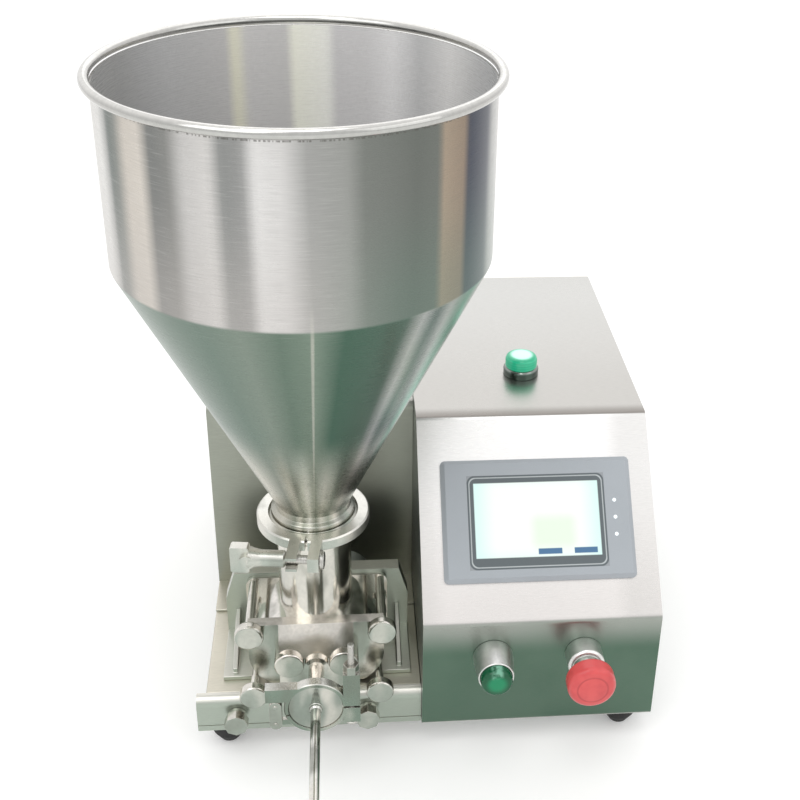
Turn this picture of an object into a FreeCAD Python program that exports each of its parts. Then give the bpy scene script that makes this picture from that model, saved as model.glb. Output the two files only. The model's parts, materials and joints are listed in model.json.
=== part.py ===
import FreeCAD, Part
import math
import os
import Sketcher

# Tabletop filler: a hopper clamped on a rotary lobe pump, a low base, a motor
# housing behind the pump and a control cabinet beside it.
# The origin is on the floor below the hopper's centre line. +X is to the right
# seen from the front, -Y is the front and +Z is up. All sizes are millimetres.

DRIVING_SIZES = {
    # shared
    "sheet": 1.5,
    "gap": 0.3,
    "run_gap": 0.05,
    "overrun": 5.0,
    # feet
    "foot_high": 22.0,
    "foot_edge": 2.0,
    "foot_top_radius": 14.0,
    "foot_floor_radius": 8.5,
    "foot_inset_front": 16.0,
    "foot_inset_left": 17.0,
    "foot_inset_right": 23.0,
    "foot_inset_back": 34.0,
    # hopper
    "hopper_radius": 139.0,
    "hopper_wall": 1.5,
    "bead_radius": 3.7,
    "rim_top_z": 582.0,
    "cone_top_z": 445.0,
    "cone_low_z": 224.0,
    "tube_radius": 30.5,
    "tube_wall": 2.0,
    "ferrule_radius": 38.75,
    "ferrule_edge": 1.6,
    "ferrule_taper": 2.0,
    "ferrule_neck_radius": 34.0,
    "ferrule_rise": 8.5,
    "ferrule_blend": 2.0,
    "gasket_thick": 2.0,
    # hopper clamp
    "clamp_z": 207.0,
    "clamp_radius": 46.0,
    "clamp_half_high": 5.0,
    "clamp_lip": 2.0,
    "clamp_bevel": 2.0,
    "clamp_chamfer": 1.2,
    "lug_root": 2.5,
    "lug_inner": 4.2,
    "clamp_split": 2.0,
    "lug_thick": 8.8,
    "lug_reach": 24.0,
    "lug_high": 12.6,
    "bolt_radius": 3.5,
    "bolt_out": 16.0,
    "knuckle_radius": 5.0,
    "hinge_pin_radius": 2.0,
    "wing_hub_radius": 6.8,
    "wing_hub_long": 28.5,
    "wing_thick": 14.7,
    "wing_reach": 11.7,
    "wing_flange": 1.5,
    "wing_plate_half": 4.2,
    "wing_flare": 9.0,
    "wing_flare_radius": 8.8,
    "wing_boss_radius": 6.0,
    "wing_boss_reach": 7.5,
    # pump
    "pump_z": 89.0,
    "shaft_half_apart": 21.0,
    "casing_radius": 32.0,
    "casing_front": 26.0,
    "casing_back": 28.0,
    "neck_sink": 2.5,
    "flange_thick": 5.0,
    "flange_half_wide": 61.5,
    "flange_half_high": 31.0,
    "flange_corner": 8.0,
    "lobe_clearance": 0.15,
    "chamber_clearance": 0.15,
    "chamber_depth": 48.0,
    "thread_step": 2.0,
    "rotor_end_gap": 0.4,
    "inlet_port_radius": 17.0,
    "shaft_radius": 7.0,
    "rotor_nut_radius": 9.5,
    "rotor_nut_high": 6.0,
    "seal_radius": 11.0,
    "seal_thick": 5.0,
    "bearing_radius": 13.0,
    "bearing_wide": 9.0,
    # pump cover
    "cover_thick": 10.0,
    "cover_half_wide": 56.5,
    "cover_top": 32.0,
    "cover_bottom": 30.5,
    "block_half_wide": 31.0,
    "block_out": 11.0,
    "block_slope_drop": 28.0,
    "block_low": 27.0,
    "duct_deep": 15.0,
    "duct_drop": 20.0,
    "cap_apart": 22.6,
    "cap_radius": 12.3,
    "cap_out": 15.5,
    "cap_round": 1.5,
    "oring_in": 0.8,
    "oring_section": 2.0,
    # studs and knobs
    "stud_radius": 4.0,
    "stud_half_apart": 54.8,
    "stud_rise": 26.0,
    "knob_radius": 12.0,
    "knob_thick": 9.0,
    "knob_round": 1.2,
    "low_knob_radius": 11.3,
    "low_knob_thick": 9.0,
    "low_stem_radius": 2.5,
    "low_knob_out": 62.0,
    "low_knob_neck": 3.4,
    "low_knob_cone": 5.0,
    "low_knob_drop": 23.5,
    "low_stud_apart": 52.5,
    "knob_blind": 4.0,
    "stud_grip": 8.0,
    # pump stand
    "stand_half_wide": 80.0,
    "stand_foot_thick": 4.0,
    "stand_foot_front": 28.0,
    "foot_slot_gap": 1.5,
    "frame_thick": 13.0,
    "frame_top_z": 122.0,
    "frame_shoulder_z": 95.0,
    "frame_top_half": 72.0,
    "leg_wide": 4.0,
    "leg_thick": 4.0,
    "brace_top_z": 84.0,
    "flange_screw_x": 57.3,
    "flange_screw_z": 8.0,
    "flange_screw_radius": 3.6,
    "flange_screw_high": 4.0,
    "leg_front": 23.0,
    "leg_foot_half": 70.0,
    # timing gears
    "gear_wide": 12.0,
    "gear_backlash": 0.25,
    "gear_case_deep": 24.0,
    "gear_case_radius": 27.5,
    "gear_case_wall": 3.0,
    "shaft_tube_radius": 14.0,
    "drive_shaft_end": 130.0,
    "coupling_clear": 2.0,
    # drive
    "coupling_radius": 14.0,
    "coupling_long": 30.0,
    "gearhead_half": 29.0,
    "gearhead_long": 42.0,
    "motor_radius": 27.0,
    "motor_long": 105.0,
    "motor_shaft_reach": 4.5,
    "motor_plate_thick": 5.0,
    # outlet
    "outlet_radius": 6.5,
    "outlet_bore": 4.5,
    "outlet_collar_radius": 9.9,
    "outlet_collar_long": 6.0,
    "outlet_joint_out": 96.5,
    "outlet_inner_face": 20.5,
    "outlet_back_rise": 3.0,
    "outlet_flare_long": 13.0,
    "outlet_flare_radius": 10.5,
    "outlet_lip": 1.2,
    "outlet_ferrule_radius": 23.2,
    "outlet_clamp_radius": 25.2,
    "outlet_clamp_half_high": 4.4,
    "outlet_clamp_chamfer": 0.7,
    "outlet_lug_in": 22.0,
    "outlet_lug_out": 35.5,
    "outlet_lug_up": 32.0,
    "outlet_lug_down": 15.0,
    "outlet_arm_out": 39.5,
    "outlet_arm_high": 13.0,
    "outlet_bolt_x": 28.6,
    "outlet_bolt_radius": 2.6,
    "outlet_nut_radius": 6.2,
    "outlet_nut_high": 8.0,
    "outlet_bolt_end": 28.0,
    "link_x": 32.0,
    "link_drop": 6.4,
    "link_pin_apart": 9.0,
    "link_pin_radius": 1.8,
    "link_wide": 10.0,
    "link_thick": 2.2,
    "nozzle_radius": 4.0,
    "nozzle_bore": 3.0,
    "nozzle_long": 134.5,
    "nozzle_root_radius": 5.2,
    "nozzle_root_long": 2.5,
    # base
    "base_left": 94.0,
    "base_top_z": 56.0,
    "plate_thick": 5.0,
    "bar_front": 51.0,
    "bar_deep": 9.0,
    "bar_over": 7.5,
    "bar_lip_high": 5.5,
    "bar_lip_step": 0.8,
    "bar_round": 8.0,
    "deck_thick": 2.5,
    "deck_front": 63.0,
    "hand_screw_off": 55.0,
    "hand_screw_centre": -13.0,
    "hand_screw_z": 39.0,
    "hand_screw_radius": 10.0,
    "hand_screw_thick": 9.0,
    "hand_screw_stem": 5.0,
    "hand_screw_collar": 8.0,
    # motor housing
    "housing_front": 105.0,
    "housing_top_z": 250.0,
    "housing_round": 8.0,
    "housing_vent_z": 180.0,
    # control cabinet
    "cabinet_left": 88.0,
    "cabinet_wide": 200.0,
    "cabinet_front": 58.0,
    "cabinet_back": 346.0,
    "cabinet_bend_z": 132.0,
    "cabinet_top_z": 258.0,
    "slope_run": 122.0,
    "cabinet_round": 7.0,
    "panel_thick": 2.0,
    "vent_long": 60.0,
    "vent_high": 4.0,
    "vent_pitch": 10.0,
    "cabinet_vent_z": 180.0,
    # touch screen
    "bezel_wide": 162.0,
    "bezel_high": 103.0,
    "bezel_up": 33.0,
    "bezel_left": 18.5,
    "bezel_thick": 7.0,
    "bezel_bevel": 3.5,
    "glass_right": 23.5,
    "glass_top": 14.0,
    "glass_up": 10.0,
    "glass_left": 21.5,
    "glass_thick": 2.0,
    "bezel_corner": 4.0,
    "screen_body_deep": 32.0,
    "screen_body_border": 10.0,
    "light_radius": 1.6,
    "light_pitch": 14.4,
    "light_right": 15.5,
    "light_up": 36.5,
    # push button, stop button and lamp
    "button_z": 98.0,
    "button_left": 58.5,
    "stop_left": 135.0,
    "hole_radius": 11.0,
    "button_collar_radius": 16.5,
    "button_out": 35.0,
    "button_collar_out": 27.0,
    "button_collar_base": 8.0,
    "button_floor_out": 14.0,
    "button_stem_radius": 6.0,
    "button_cap_round": 1.6,
    "collar_taper": 1.8,
    "barrel_deep": 10.0,
    "button_cap_radius": 13.0,
    "button_travel": 3.0,
    "switch_back": 45.0,
    "switch_half": 14.0,
    "stop_collar_radius": 15.5,
    "stop_neck_radius": 12.5,
    "stop_collar_out": 18.0,
    "stop_head_radius": 20.0,
    "stop_head_back_radius": 14.0,
    "stop_head_out": 46.0,
    "stop_head_deep": 20.0,
    "stop_travel": 4.0,
    "stop_floor_out": 6.0,
    "stop_head_round": 2.0,
    "stop_head_rim": 5.0,
    "stop_stem_in_head": 9.0,
    "stop_stem_radius": 8.0,
    "lamp_y": 139.0,
    "lamp_left": 100.0,
    "lamp_collar_radius": 16.0,
    "lamp_collar_high": 8.0,
    "lamp_lens_radius": 14.5,
    "lamp_high": 19.0,
    "lamp_round": 4.0,
    "lamp_barrel": 30.0,
    # power inlet and inside parts
    "inlet_wide": 50.0,
    "inlet_high": 28.0,
    "inlet_lip": 3.0,
    "inlet_deep": 30.0,
    "inlet_z": 70.0,
    "inlet_left": 60.0,
    "socket_wide": 24.0,
    "socket_high": 16.0,
    "socket_deep": 18.0,
    "socket_off": 9.0,
    "rocker_off": 13.0,
    "pin_apart": 7.0,
    "pin_drop": 4.0,
    "pin_radius": 1.6,
    "rocker_wide": 11.0,
    "rocker_high": 18.0,
    "rocker_out": 1.8,
    "rocker_dip": 0.8,
    "rocker_back": 6.0,
    "rocker_room_deep": 12.0,
    "inside_margin": 14.0,
    "supply_lift": 6.0,
    "supply_long": 130.0,
    "supply_wide": 90.0,
    "supply_high": 40.0,
    "driver_long": 100.0,
    "driver_wide": 60.0,
    "driver_high": 90.0,
    "screw_radius": 3.0,
    "screw_high": 2.0,
    "screw_inset": 8.0,
}


# Counts, angles and shares

LOBES = 3
FLANK_POINTS = 9
GEAR_TEETH = 21
GEAR_ROOT_SHARE = 1.25
PRESSURE_DEGREES = 20
CLAMP_TURN_DEGREES = -6.5
CLAMP_HALF_DEGREES = 177
UPPER_ARC_DEGREES = 191
UPPER_MIDDLE_DEGREES = 98
LOWER_ARC_DEGREES = 160
LOWER_MIDDLE_DEGREES = 277
ROCKER_TILT_DEGREES = 8


class Size:
    """A size that carries its value and the expression that gives it."""

    def __init__(self, text, number):
        self.text = text
        self.number = float(number)

    def __add__(self, other):
        return joined(self, "+", other, self.number + as_size(other).number)

    def __radd__(self, other):
        return as_size(other) + self

    def __sub__(self, other):
        return joined(self, "-", other, self.number - as_size(other).number)

    def __rsub__(self, other):
        return as_size(other) - self

    def __mul__(self, other):
        return joined(self, "*", other, self.number * as_size(other).number)

    def __rmul__(self, other):
        return as_size(other) * self

    def __truediv__(self, other):
        return joined(self, "/", other, self.number / as_size(other).number)

    def __neg__(self):
        return Size("(-1 * %s)" % self.text, -self.number)


def as_size(value):
    return value if isinstance(value, Size) else Size("(%r)" % float(value), value)


def joined(first, sign, second, number):
    return Size("(%s %s %s)" % (first.text, sign, as_size(second).text), number)


def root(value):
    """Square root of a size's square."""
    return Size("sqrt(%s)" % value.text, math.sqrt(value.number))


def tangent(angle):
    """Tangent of an angle in degrees."""
    return Size("tan(%s)" % angle.text, math.tan(math.radians(angle.number)))


class Sheet:
    """The driving sizes, each one read as an attribute."""

    def __init__(self, doc, name, values):
        self.table = doc.addObject("Spreadsheet::Sheet", name)
        self.values = values
        for row, (alias, number) in enumerate(values.items(), start=1):
            self.table.set("A%d" % row, alias)
            self.table.set("B%d" % row, repr(number))
            self.table.setAlias("B%d" % row, alias)

    def __getattr__(self, alias):
        return Size("Sizes.%s" % alias, self.values[alias])


doc = FreeCAD.newDocument("FillerMachine")
s = Sheet(doc, "Sizes", DRIVING_SIZES)
doc.recompute()
ZERO = as_size(0)
nodes = []


# Placing and binding

def bind(thing, path, value):
    thing.setExpression(path, as_size(value).text)


def place(thing, x=0, y=0, z=0):
    for axis, value in (("x", x), ("y", y), ("z", z)):
        bind(thing, "Placement.Base.%s" % axis, value)


def finished(thing, label):
    """Names a sub-part and lists it for export."""
    thing.Label = label
    nodes.append(thing)
    return thing


def scratch(kind, label):
    """An object that is only a step towards a sub-part."""
    return doc.addObject(kind, label + "_step")


# Sketches and bodies

NORMAL = {"XY_Plane": 1, "XZ_Plane": -1, "YZ_Plane": 1}


def new_body(label):
    body = doc.addObject("PartDesign::Body", label + "_body")
    body.Label = label + "_body"
    return body


def new_sketch(body, plane, offset=0):
    """A sketch on one of the body's own planes, moved along that plane's positive axis."""
    sketch = body.newObject("Sketcher::SketchObject", body.Name + "_sketch")
    support = [part for part in body.Origin.OriginFeatures if part.Role == plane][0]
    sketch.AttachmentSupport = [(support, "")]
    sketch.MapMode = "FlatFace"
    bind(sketch, "AttachmentOffset.Base.z", as_size(offset) * NORMAL[plane])
    sketch.addProperty("App::PropertyString", "Plane")
    sketch.Plane = plane
    return sketch


def pin_point(sketch, curve, point, x, y):
    """Holds a point of a curve at a place given by two sizes."""
    for axis, value in (("X", x), ("Y", y)):
        value = as_size(value)
        rule = Sketcher.Constraint("Distance" + axis, -1, 1, curve, point, value.number)
        number = sketch.addConstraint(rule)
        sketch.renameConstraint(number, "d%d" % number)
        sketch.setExpression("Constraints.d%d" % number, value.text)


def draw_outline(sketch, points):
    """A closed outline of straight sides through the points."""
    places = [FreeCAD.Vector(as_size(x).number, as_size(y).number, 0) for x, y in points]
    first = sketch.GeometryCount
    count = len(points)
    for step in range(count):
        sketch.addGeometry(Part.LineSegment(places[step], places[(step + 1) % count]))
    for step in range(count):
        following = first + (step + 1) % count
        sketch.addConstraint(Sketcher.Constraint("Coincident", first + step, 2, following, 1))
    for step, (x, y) in enumerate(points):
        pin_point(sketch, first + step, 1, x, y)


def draw_circle(sketch, x, y, radius):
    radius = as_size(radius)
    centre = FreeCAD.Vector(as_size(x).number, as_size(y).number, 0)
    up = FreeCAD.Vector(0, 0, 1)
    curve = sketch.addGeometry(Part.Circle(centre, up, radius.number))
    pin_point(sketch, curve, 3, x, y)
    number = sketch.addConstraint(Sketcher.Constraint("Radius", curve, radius.number))
    sketch.renameConstraint(number, "r%d" % number)
    sketch.setExpression("Constraints.r%d" % number, radius.text)


def draw_stadium(sketch, half_apart, y, radius):
    """Two half circles side by side, joined by straight sides."""
    c = as_size(half_apart).number
    v = as_size(y).number
    r = as_size(radius).number
    up = FreeCAD.Vector(0, 0, 1)
    right = Part.Circle(FreeCAD.Vector(c, v, 0), up, r)
    left = Part.Circle(FreeCAD.Vector(-c, v, 0), up, r)
    quarter = math.pi / 2
    first = sketch.addGeometry(Part.ArcOfCircle(right, -quarter, quarter))
    sketch.addGeometry(Part.LineSegment(FreeCAD.Vector(c, v + r, 0), FreeCAD.Vector(-c, v + r, 0)))
    sketch.addGeometry(Part.ArcOfCircle(left, quarter, 3 * quarter))
    sketch.addGeometry(Part.LineSegment(FreeCAD.Vector(-c, v - r, 0), FreeCAD.Vector(c, v - r, 0)))
    for step in range(4):
        rule = Sketcher.Constraint("Tangent", first + step, 2, first + (step + 1) % 4, 1)
        sketch.addConstraint(rule)
    pin_point(sketch, first, 3, half_apart, y)
    pin_point(sketch, first + 2, 3, -as_size(half_apart), y)
    number = sketch.addConstraint(Sketcher.Constraint("Radius", first, r))
    sketch.renameConstraint(number, "r%d" % number)
    sketch.setExpression("Constraints.r%d" % number, as_size(radius).text)


def draw_box(sketch, x0, x1, y0, y1):
    draw_outline(sketch, [(x0, y0), (x1, y0), (x1, y1), (x0, y1)])


def pad(body, sketch, length):
    """Solid from the sketch along its plane's positive axis."""
    feature = body.newObject("PartDesign::Pad", body.Name + "_pad")
    feature.Profile = sketch
    bind(feature, "Length", length)
    feature.Reversed = NORMAL[sketch.Plane] < 0
    sketch.Visibility = False
    return feature


def pocket(body, sketch, length):
    """Cut from the sketch along its plane's positive axis; it has to remove material."""
    doc.recompute()
    before = body.Shape.Volume
    feature = body.newObject("PartDesign::Pocket", body.Name + "_pocket")
    feature.Profile = sketch
    bind(feature, "Length", length)
    feature.Reversed = NORMAL[sketch.Plane] > 0
    doc.recompute()
    if body.Shape.Volume >= before:
        raise RuntimeError("a pocket in %s cuts nothing" % body.Label)
    return feature


def revolve(body, points, axis="z", angle=None):
    """Solid turned about z or y from (radius, along) points, or about x from (along, radius)."""
    plane = "XZ_Plane" if axis == "z" else "XY_Plane"
    sketch = new_sketch(body, plane)
    draw_outline(sketch, points)
    return revolve_sketch(body, sketch, "H_Axis" if axis == "x" else "V_Axis", angle)


def revolve_sketch(body, sketch, axis_name, angle=None):
    feature = body.newObject("PartDesign::Revolution", body.Name + "_turn")
    feature.Profile = sketch
    feature.ReferenceAxis = (sketch, [axis_name])
    feature.Angle = 360
    if angle is not None:
        feature.Midplane = True
        bind(feature, "Angle", angle)
    return feature


def turned(label, points, axis="z", at=(0, 0, 0)):
    """A whole sub-part that is one turned solid."""
    body = new_body(label)
    revolve(body, points, axis)
    place(body, *at)
    return body


def same(value, target):
    return abs(value - as_size(target).number) < s.run_gap.number


def edge_names(shape, test):
    return ["Edge%d" % (count + 1) for count, edge in enumerate(shape.Edges) if test(edge.BoundBox)]


def round_edges(body, radius, test):
    """Fillet on every edge whose box passes the test."""
    doc.recompute()
    base = body.Tip
    names = edge_names(base.Shape, test)
    if not names:
        raise RuntimeError("no edge to round in %s" % body.Label)
    feature = body.newObject("PartDesign::Fillet", body.Name + "_fillet")
    feature.Base = (base, names)
    bind(feature, "Radius", radius)
    return feature


def bevel_edges(body, depth, test):
    doc.recompute()
    base = body.Tip
    names = edge_names(base.Shape, test)
    if not names:
        raise RuntimeError("no edge to bevel in %s" % body.Label)
    feature = body.newObject("PartDesign::Chamfer", body.Name + "_bevel")
    feature.Base = (base, names)
    bind(feature, "Size", depth)
    return feature


def hollow(body, wall, open_test):
    """Sheet shell inwards from the solid, open at the faces whose box passes the test."""
    doc.recompute()
    base = body.Tip
    faces = [
        "Face%d" % (count + 1)
        for count, face in enumerate(base.Shape.Faces)
        if open_test(face.BoundBox)
    ]
    feature = body.newObject("PartDesign::Thickness", body.Name + "_wall")
    feature.Base = (base, faces)
    bind(feature, "Value", wall)
    feature.Reversed = True
    feature.Join = 1
    return feature


# Part primitives

def box(label, x0, x1, y0, y1, z0, z1):
    thing = scratch("Part::Box", label)
    bind(thing, "Length", as_size(x1) - x0)
    bind(thing, "Width", as_size(y1) - y0)
    bind(thing, "Height", as_size(z1) - z0)
    place(thing, x0, y0, z0)
    return thing


AXIS_TURN = {
    "x": FreeCAD.Rotation(FreeCAD.Vector(0, 1, 0), 90),
    "y": FreeCAD.Rotation(FreeCAD.Vector(1, 0, 0), -90),
    "z": FreeCAD.Rotation(),
}


def rod(label, axis, radius, low, high, across, up):
    """A cylinder along an axis from low to high; the other two places follow X, Y, Z order."""
    thing = scratch("Part::Cylinder", label)
    thing.Placement = FreeCAD.Placement(FreeCAD.Vector(0, 0, 0), AXIS_TURN[axis])
    bind(thing, "Radius", radius)
    bind(thing, "Height", as_size(high) - low)
    if axis == "x":
        place(thing, low, across, up)
    elif axis == "y":
        place(thing, across, low, up)
    else:
        place(thing, across, up, low)
    return thing


def cut(label, base, tools):
    thing = scratch("Part::Cut", label)
    thing.Base = base
    thing.Tool = tools[0] if len(tools) == 1 else fuse(label + "_tools", tools)
    return thing


def fuse(label, pieces):
    thing = scratch("Part::MultiFuse", label)
    thing.Shapes = pieces
    return thing


def group(label, pieces):
    """Separate solids of one kind in one sub-part."""
    thing = scratch("Part::Compound", label)
    thing.Links = pieces
    return finished(thing, label)


# Places that several sub-parts share

JOINT_LOW = s.clamp_z - s.gasket_thick / 2
JOINT_HIGH = s.clamp_z + s.gasket_thick / 2
CASING_TOP = s.pump_z + s.casing_radius
LOBE_TIP = s.shaft_half_apart + s.shaft_half_apart / LOBES
CHAMBER_RADIUS = LOBE_TIP + s.chamber_clearance
CHAMBER_BACK = s.chamber_depth - s.casing_front
CASING_REAR = s.casing_back + s.flange_thick
FRAME_REAR = CASING_REAR + s.frame_thick
FRAME_LOW = s.base_top_z + s.stand_foot_thick
CASE_REAR = FRAME_REAR + s.gear_case_deep
GEAR_FRONT = FRAME_REAR + s.gap * 4
COVER_OUT = s.casing_front + s.cover_thick
BLOCK_OUT = COVER_OUT + s.block_out
DECK_TOP = s.base_top_z + s.deck_thick
BASE_FRONT = -s.bar_front + s.bar_deep
BASE_RIGHT = s.cabinet_left - s.gap
SLOPE_RISE = s.cabinet_top_z - s.cabinet_bend_z
CABINET_RIGHT = s.cabinet_left + s.cabinet_wide
DRIVE_X = -s.shaft_half_apart
DRIVEN_X = s.shaft_half_apart


# Feet, base and housings

def build_feet():
    profile = [
        (ZERO, ZERO),
        (s.foot_floor_radius - s.foot_edge, ZERO),
        (s.foot_floor_radius, s.foot_edge),
        (s.foot_top_radius, s.foot_high / 2),
        (s.foot_top_radius, s.foot_high),
        (ZERO, s.foot_high),
    ]
    left = -s.base_left + s.foot_inset_left
    right = CABINET_RIGHT - s.foot_inset_right
    front = -s.bar_front + s.foot_inset_front
    back = s.cabinet_back - s.foot_inset_back
    places = [(left, front), (right, front), (right, back), (left, back)]
    group("feet", [turned("foot", profile, "z", (x, y, ZERO)) for x, y in places])


def tray_body():
    body = new_body("base_tray")
    sketch = new_sketch(body, "XY_Plane", s.foot_high)
    draw_box(sketch, -s.base_left, BASE_RIGHT, BASE_FRONT, s.cabinet_back)
    pad(body, sketch, s.base_top_z - s.plate_thick - s.foot_high)
    left, front, back = -s.base_left, BASE_FRONT, s.cabinet_back
    round_edges(body, s.cabinet_round, lambda b: b.ZLength > s.cabinet_round.number and same(b.XMax, left))
    room = new_sketch(body, "XY_Plane", s.foot_high + s.sheet)
    draw_box(room, left + s.sheet * 2, BASE_RIGHT - s.sheet, front + s.sheet * 2, back - s.sheet * 2)
    pocket(body, room, s.base_top_z - s.foot_high)
    return body


def build_base_plate():
    body = new_body("base_plate")
    sketch = new_sketch(body, "XY_Plane", s.base_top_z - s.plate_thick)
    draw_box(sketch, -s.base_left, BASE_RIGHT, BASE_FRONT, s.cabinet_back)
    pad(body, sketch, s.plate_thick)
    round_edges(body, s.plate_thick / 2, lambda b: same(b.XMax, -s.base_left) and same(b.ZMin, s.base_top_z))
    return finished(body, "base_plate")


def build_front_bar():
    body = new_body("front_bar")
    sketch = new_sketch(body, "YZ_Plane", -s.base_left - s.bar_over)
    step = s.bar_lip_step
    draw_outline(sketch, [
        (BASE_FRONT, s.foot_high),
        (-s.bar_front, s.foot_high),
        (-s.bar_front, s.foot_high + s.bar_lip_high),
        (-s.bar_front + step, s.foot_high + s.bar_lip_high),
        (-s.bar_front + step, s.foot_high + s.bar_lip_high + step),
        (-s.bar_front, s.foot_high + s.bar_lip_high + step),
        (-s.bar_front, s.base_top_z),
        (BASE_FRONT, s.base_top_z),
    ])
    pad(body, sketch, BASE_RIGHT + s.base_left + s.bar_over)
    round_edges(body, s.bar_round, lambda b: same(b.YMax, -s.bar_front) and same(b.ZMin, s.base_top_z))
    holes = [
        rod("screw_hole", "y", s.hand_screw_stem + s.run_gap, -s.bar_front - s.overrun, BASE_FRONT + s.overrun,
            s.hand_screw_off * side_sign + s.hand_screw_centre, s.hand_screw_z)
        for side_sign in (-1, 1)
    ]
    finished(fuse("base_tray", [tray_body(), cut("front_bar", body, holes)]), "base_tray")


def build_deck():
    body = new_body("rear_deck")
    sketch = new_sketch(body, "XY_Plane", s.base_top_z)
    draw_box(sketch, -s.base_left, BASE_RIGHT, s.deck_front, s.cabinet_back)
    pad(body, sketch, s.deck_thick)
    return finished(body, "rear_deck")


def build_motor_housing():
    body = new_body("motor_housing")
    sketch = new_sketch(body, "XY_Plane", DECK_TOP)
    draw_box(sketch, -s.base_left, BASE_RIGHT, s.housing_front, s.cabinet_back)
    pad(body, sketch, s.housing_top_z - DECK_TOP)
    top, left, front, back = s.housing_top_z, -s.base_left, s.housing_front, s.cabinet_back

    def folded(b):
        on_top = same(b.ZMin, top) and (same(b.YMax, front) or same(b.YMin, back))
        return on_top

    round_edges(body, s.housing_round, folded)
    hollow(body, s.sheet, lambda b: same(b.ZMax, DECK_TOP))
    mouth = rod("housing_mouth", "y", s.shaft_tube_radius + s.gap, front - s.overrun,
                front + s.overrun, DRIVE_X, s.pump_z)
    slots = vent_slots("housing_vent", (left + BASE_RIGHT) / 2, back, s.housing_vent_z)
    return finished(cut("motor_housing", body, [mouth] + slots), "motor_housing")


def vent_slots(label, middle, wall_y, low_z):
    """A column of four long slots through a wall that faces the back."""
    pieces = []
    for step in range(4):
        low = low_z + s.vent_pitch * step
        pieces.append(box(label, middle - s.vent_long / 2, middle + s.vent_long / 2,
                          wall_y - s.overrun, wall_y + s.overrun, low, low + s.vent_high))
    return pieces


def slope_placed(thing, along=ZERO, up=ZERO, out=ZERO):
    """Puts a piece drawn flat onto the sloping front: along X, up the slope, out of it."""
    angle = "atan(%s / %s)" % (SLOPE_RISE.text, s.slope_run.text)
    slant = math.atan2(SLOPE_RISE.number, s.slope_run.number)
    turn = FreeCAD.Rotation(FreeCAD.Vector(1, 0, 0), math.degrees(slant))
    thing.Placement = FreeCAD.Placement(FreeCAD.Vector(0, 0, 0), turn)
    thing.setExpression("Placement.Rotation.Angle", angle)
    slope = root(SLOPE_RISE * SLOPE_RISE + s.slope_run * s.slope_run)
    run_share = s.slope_run / slope
    rise_share = SLOPE_RISE / slope
    bind(thing, "Placement.Base.x", s.cabinet_left + along)
    bind(thing, "Placement.Base.y", -s.cabinet_front + up * run_share - out * rise_share)
    bind(thing, "Placement.Base.z", s.cabinet_bend_z + up * rise_share + out * run_share)
    return thing


def build_cabinet():
    body = new_body("cabinet_shell")
    sketch = new_sketch(body, "YZ_Plane", s.cabinet_left)
    draw_outline(sketch, [
        (-s.cabinet_front, s.foot_high),
        (-s.cabinet_front, s.cabinet_bend_z),
        (-s.cabinet_front + s.slope_run, s.cabinet_top_z),
        (s.cabinet_back, s.cabinet_top_z),
        (s.cabinet_back, s.foot_high),
    ])
    pad(body, sketch, s.cabinet_wide)
    front, low, high = -s.cabinet_front, s.foot_high, s.cabinet_top_z
    bend = s.cabinet_bend_z

    def folded(b):
        if b.XLength < s.overrun.number:
            return False
        at_front = same(b.YMin, front) and (same(b.ZMin, bend) or same(b.ZMin, low))
        return at_front or (same(b.ZMin, high) and same(b.YMin, front + s.slope_run))

    round_edges(body, s.cabinet_round, folded)
    hollow(body, s.sheet, lambda b: same(b.YMin, s.cabinet_back))
    deep = s.overrun + s.sheet
    tools = [
        rod("start_hole", "y", s.hole_radius + s.run_gap, front - s.overrun, front + deep,
            s.cabinet_left + s.button_left, s.button_z),
        rod("stop_hole", "y", s.hole_radius + s.run_gap, front - s.overrun, front + deep,
            s.cabinet_left + s.stop_left, s.button_z),
        rod("lamp_hole", "z", s.hole_radius + s.run_gap, high - deep, high + s.overrun,
            s.cabinet_left + s.lamp_left, s.lamp_y),
    ]
    window = box("screen_hole", ZERO, s.bezel_wide - s.screen_body_border * 2,
                 ZERO, s.bezel_high - s.screen_body_border * 2, ZERO, deep + s.overrun)
    slope_placed(window, s.bezel_left + s.screen_body_border, s.bezel_up + s.screen_body_border, -deep)
    shell = cut("cabinet_shell", body, tools + [window])
    return finished(shell, "cabinet_shell")


def build_back_panel():
    left, right = s.cabinet_left, CABINET_RIGHT
    back = s.cabinet_back
    panel = box("back_panel", left, right, back, back + s.panel_thick, s.foot_high, s.cabinet_top_z)
    x = left + s.inlet_left
    hole = box("inlet_hole", x - s.inlet_wide / 2 + s.inlet_lip, x + s.inlet_wide / 2 - s.inlet_lip,
               back - s.overrun, back + s.overrun,
               s.inlet_z - s.inlet_high / 2 + s.inlet_lip, s.inlet_z + s.inlet_high / 2 - s.inlet_lip)
    slots = vent_slots("cabinet_vent", (left + right) / 2, back, s.cabinet_vent_z)
    finished(cut("cabinet_back_panel", panel, [hole] + slots), "cabinet_back_panel")
    profile = [(ZERO, ZERO), (s.screw_radius, ZERO), (s.screw_radius, s.screw_high / 2),
               (s.screw_radius / 2, s.screw_high), (ZERO, s.screw_high)]
    inset = s.screw_inset
    spots = [(x_at, z_at) for x_at in (left + inset, right - inset)
             for z_at in (s.foot_high + inset, s.cabinet_top_z - inset)]
    panel_screws = [turned("screw", profile, "y", (x_at, back + s.panel_thick, z_at)) for x_at, z_at in spots]
    head = [(ZERO, ZERO), (ZERO, -s.flange_screw_high), (s.flange_screw_radius - s.gap, -s.flange_screw_high),
            (s.flange_screw_radius, -s.flange_screw_high + s.gap), (s.flange_screw_radius, ZERO)]
    spots = [(x * s.flange_screw_x, z * s.flange_screw_z) for x in (-1, 1) for z in (-1, 1)]
    flange_screws = [turned("screw", head, "y", (x, s.casing_back, s.pump_z + z)) for x, z in spots]
    group("screws", panel_screws + flange_screws)


# Control panel

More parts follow.
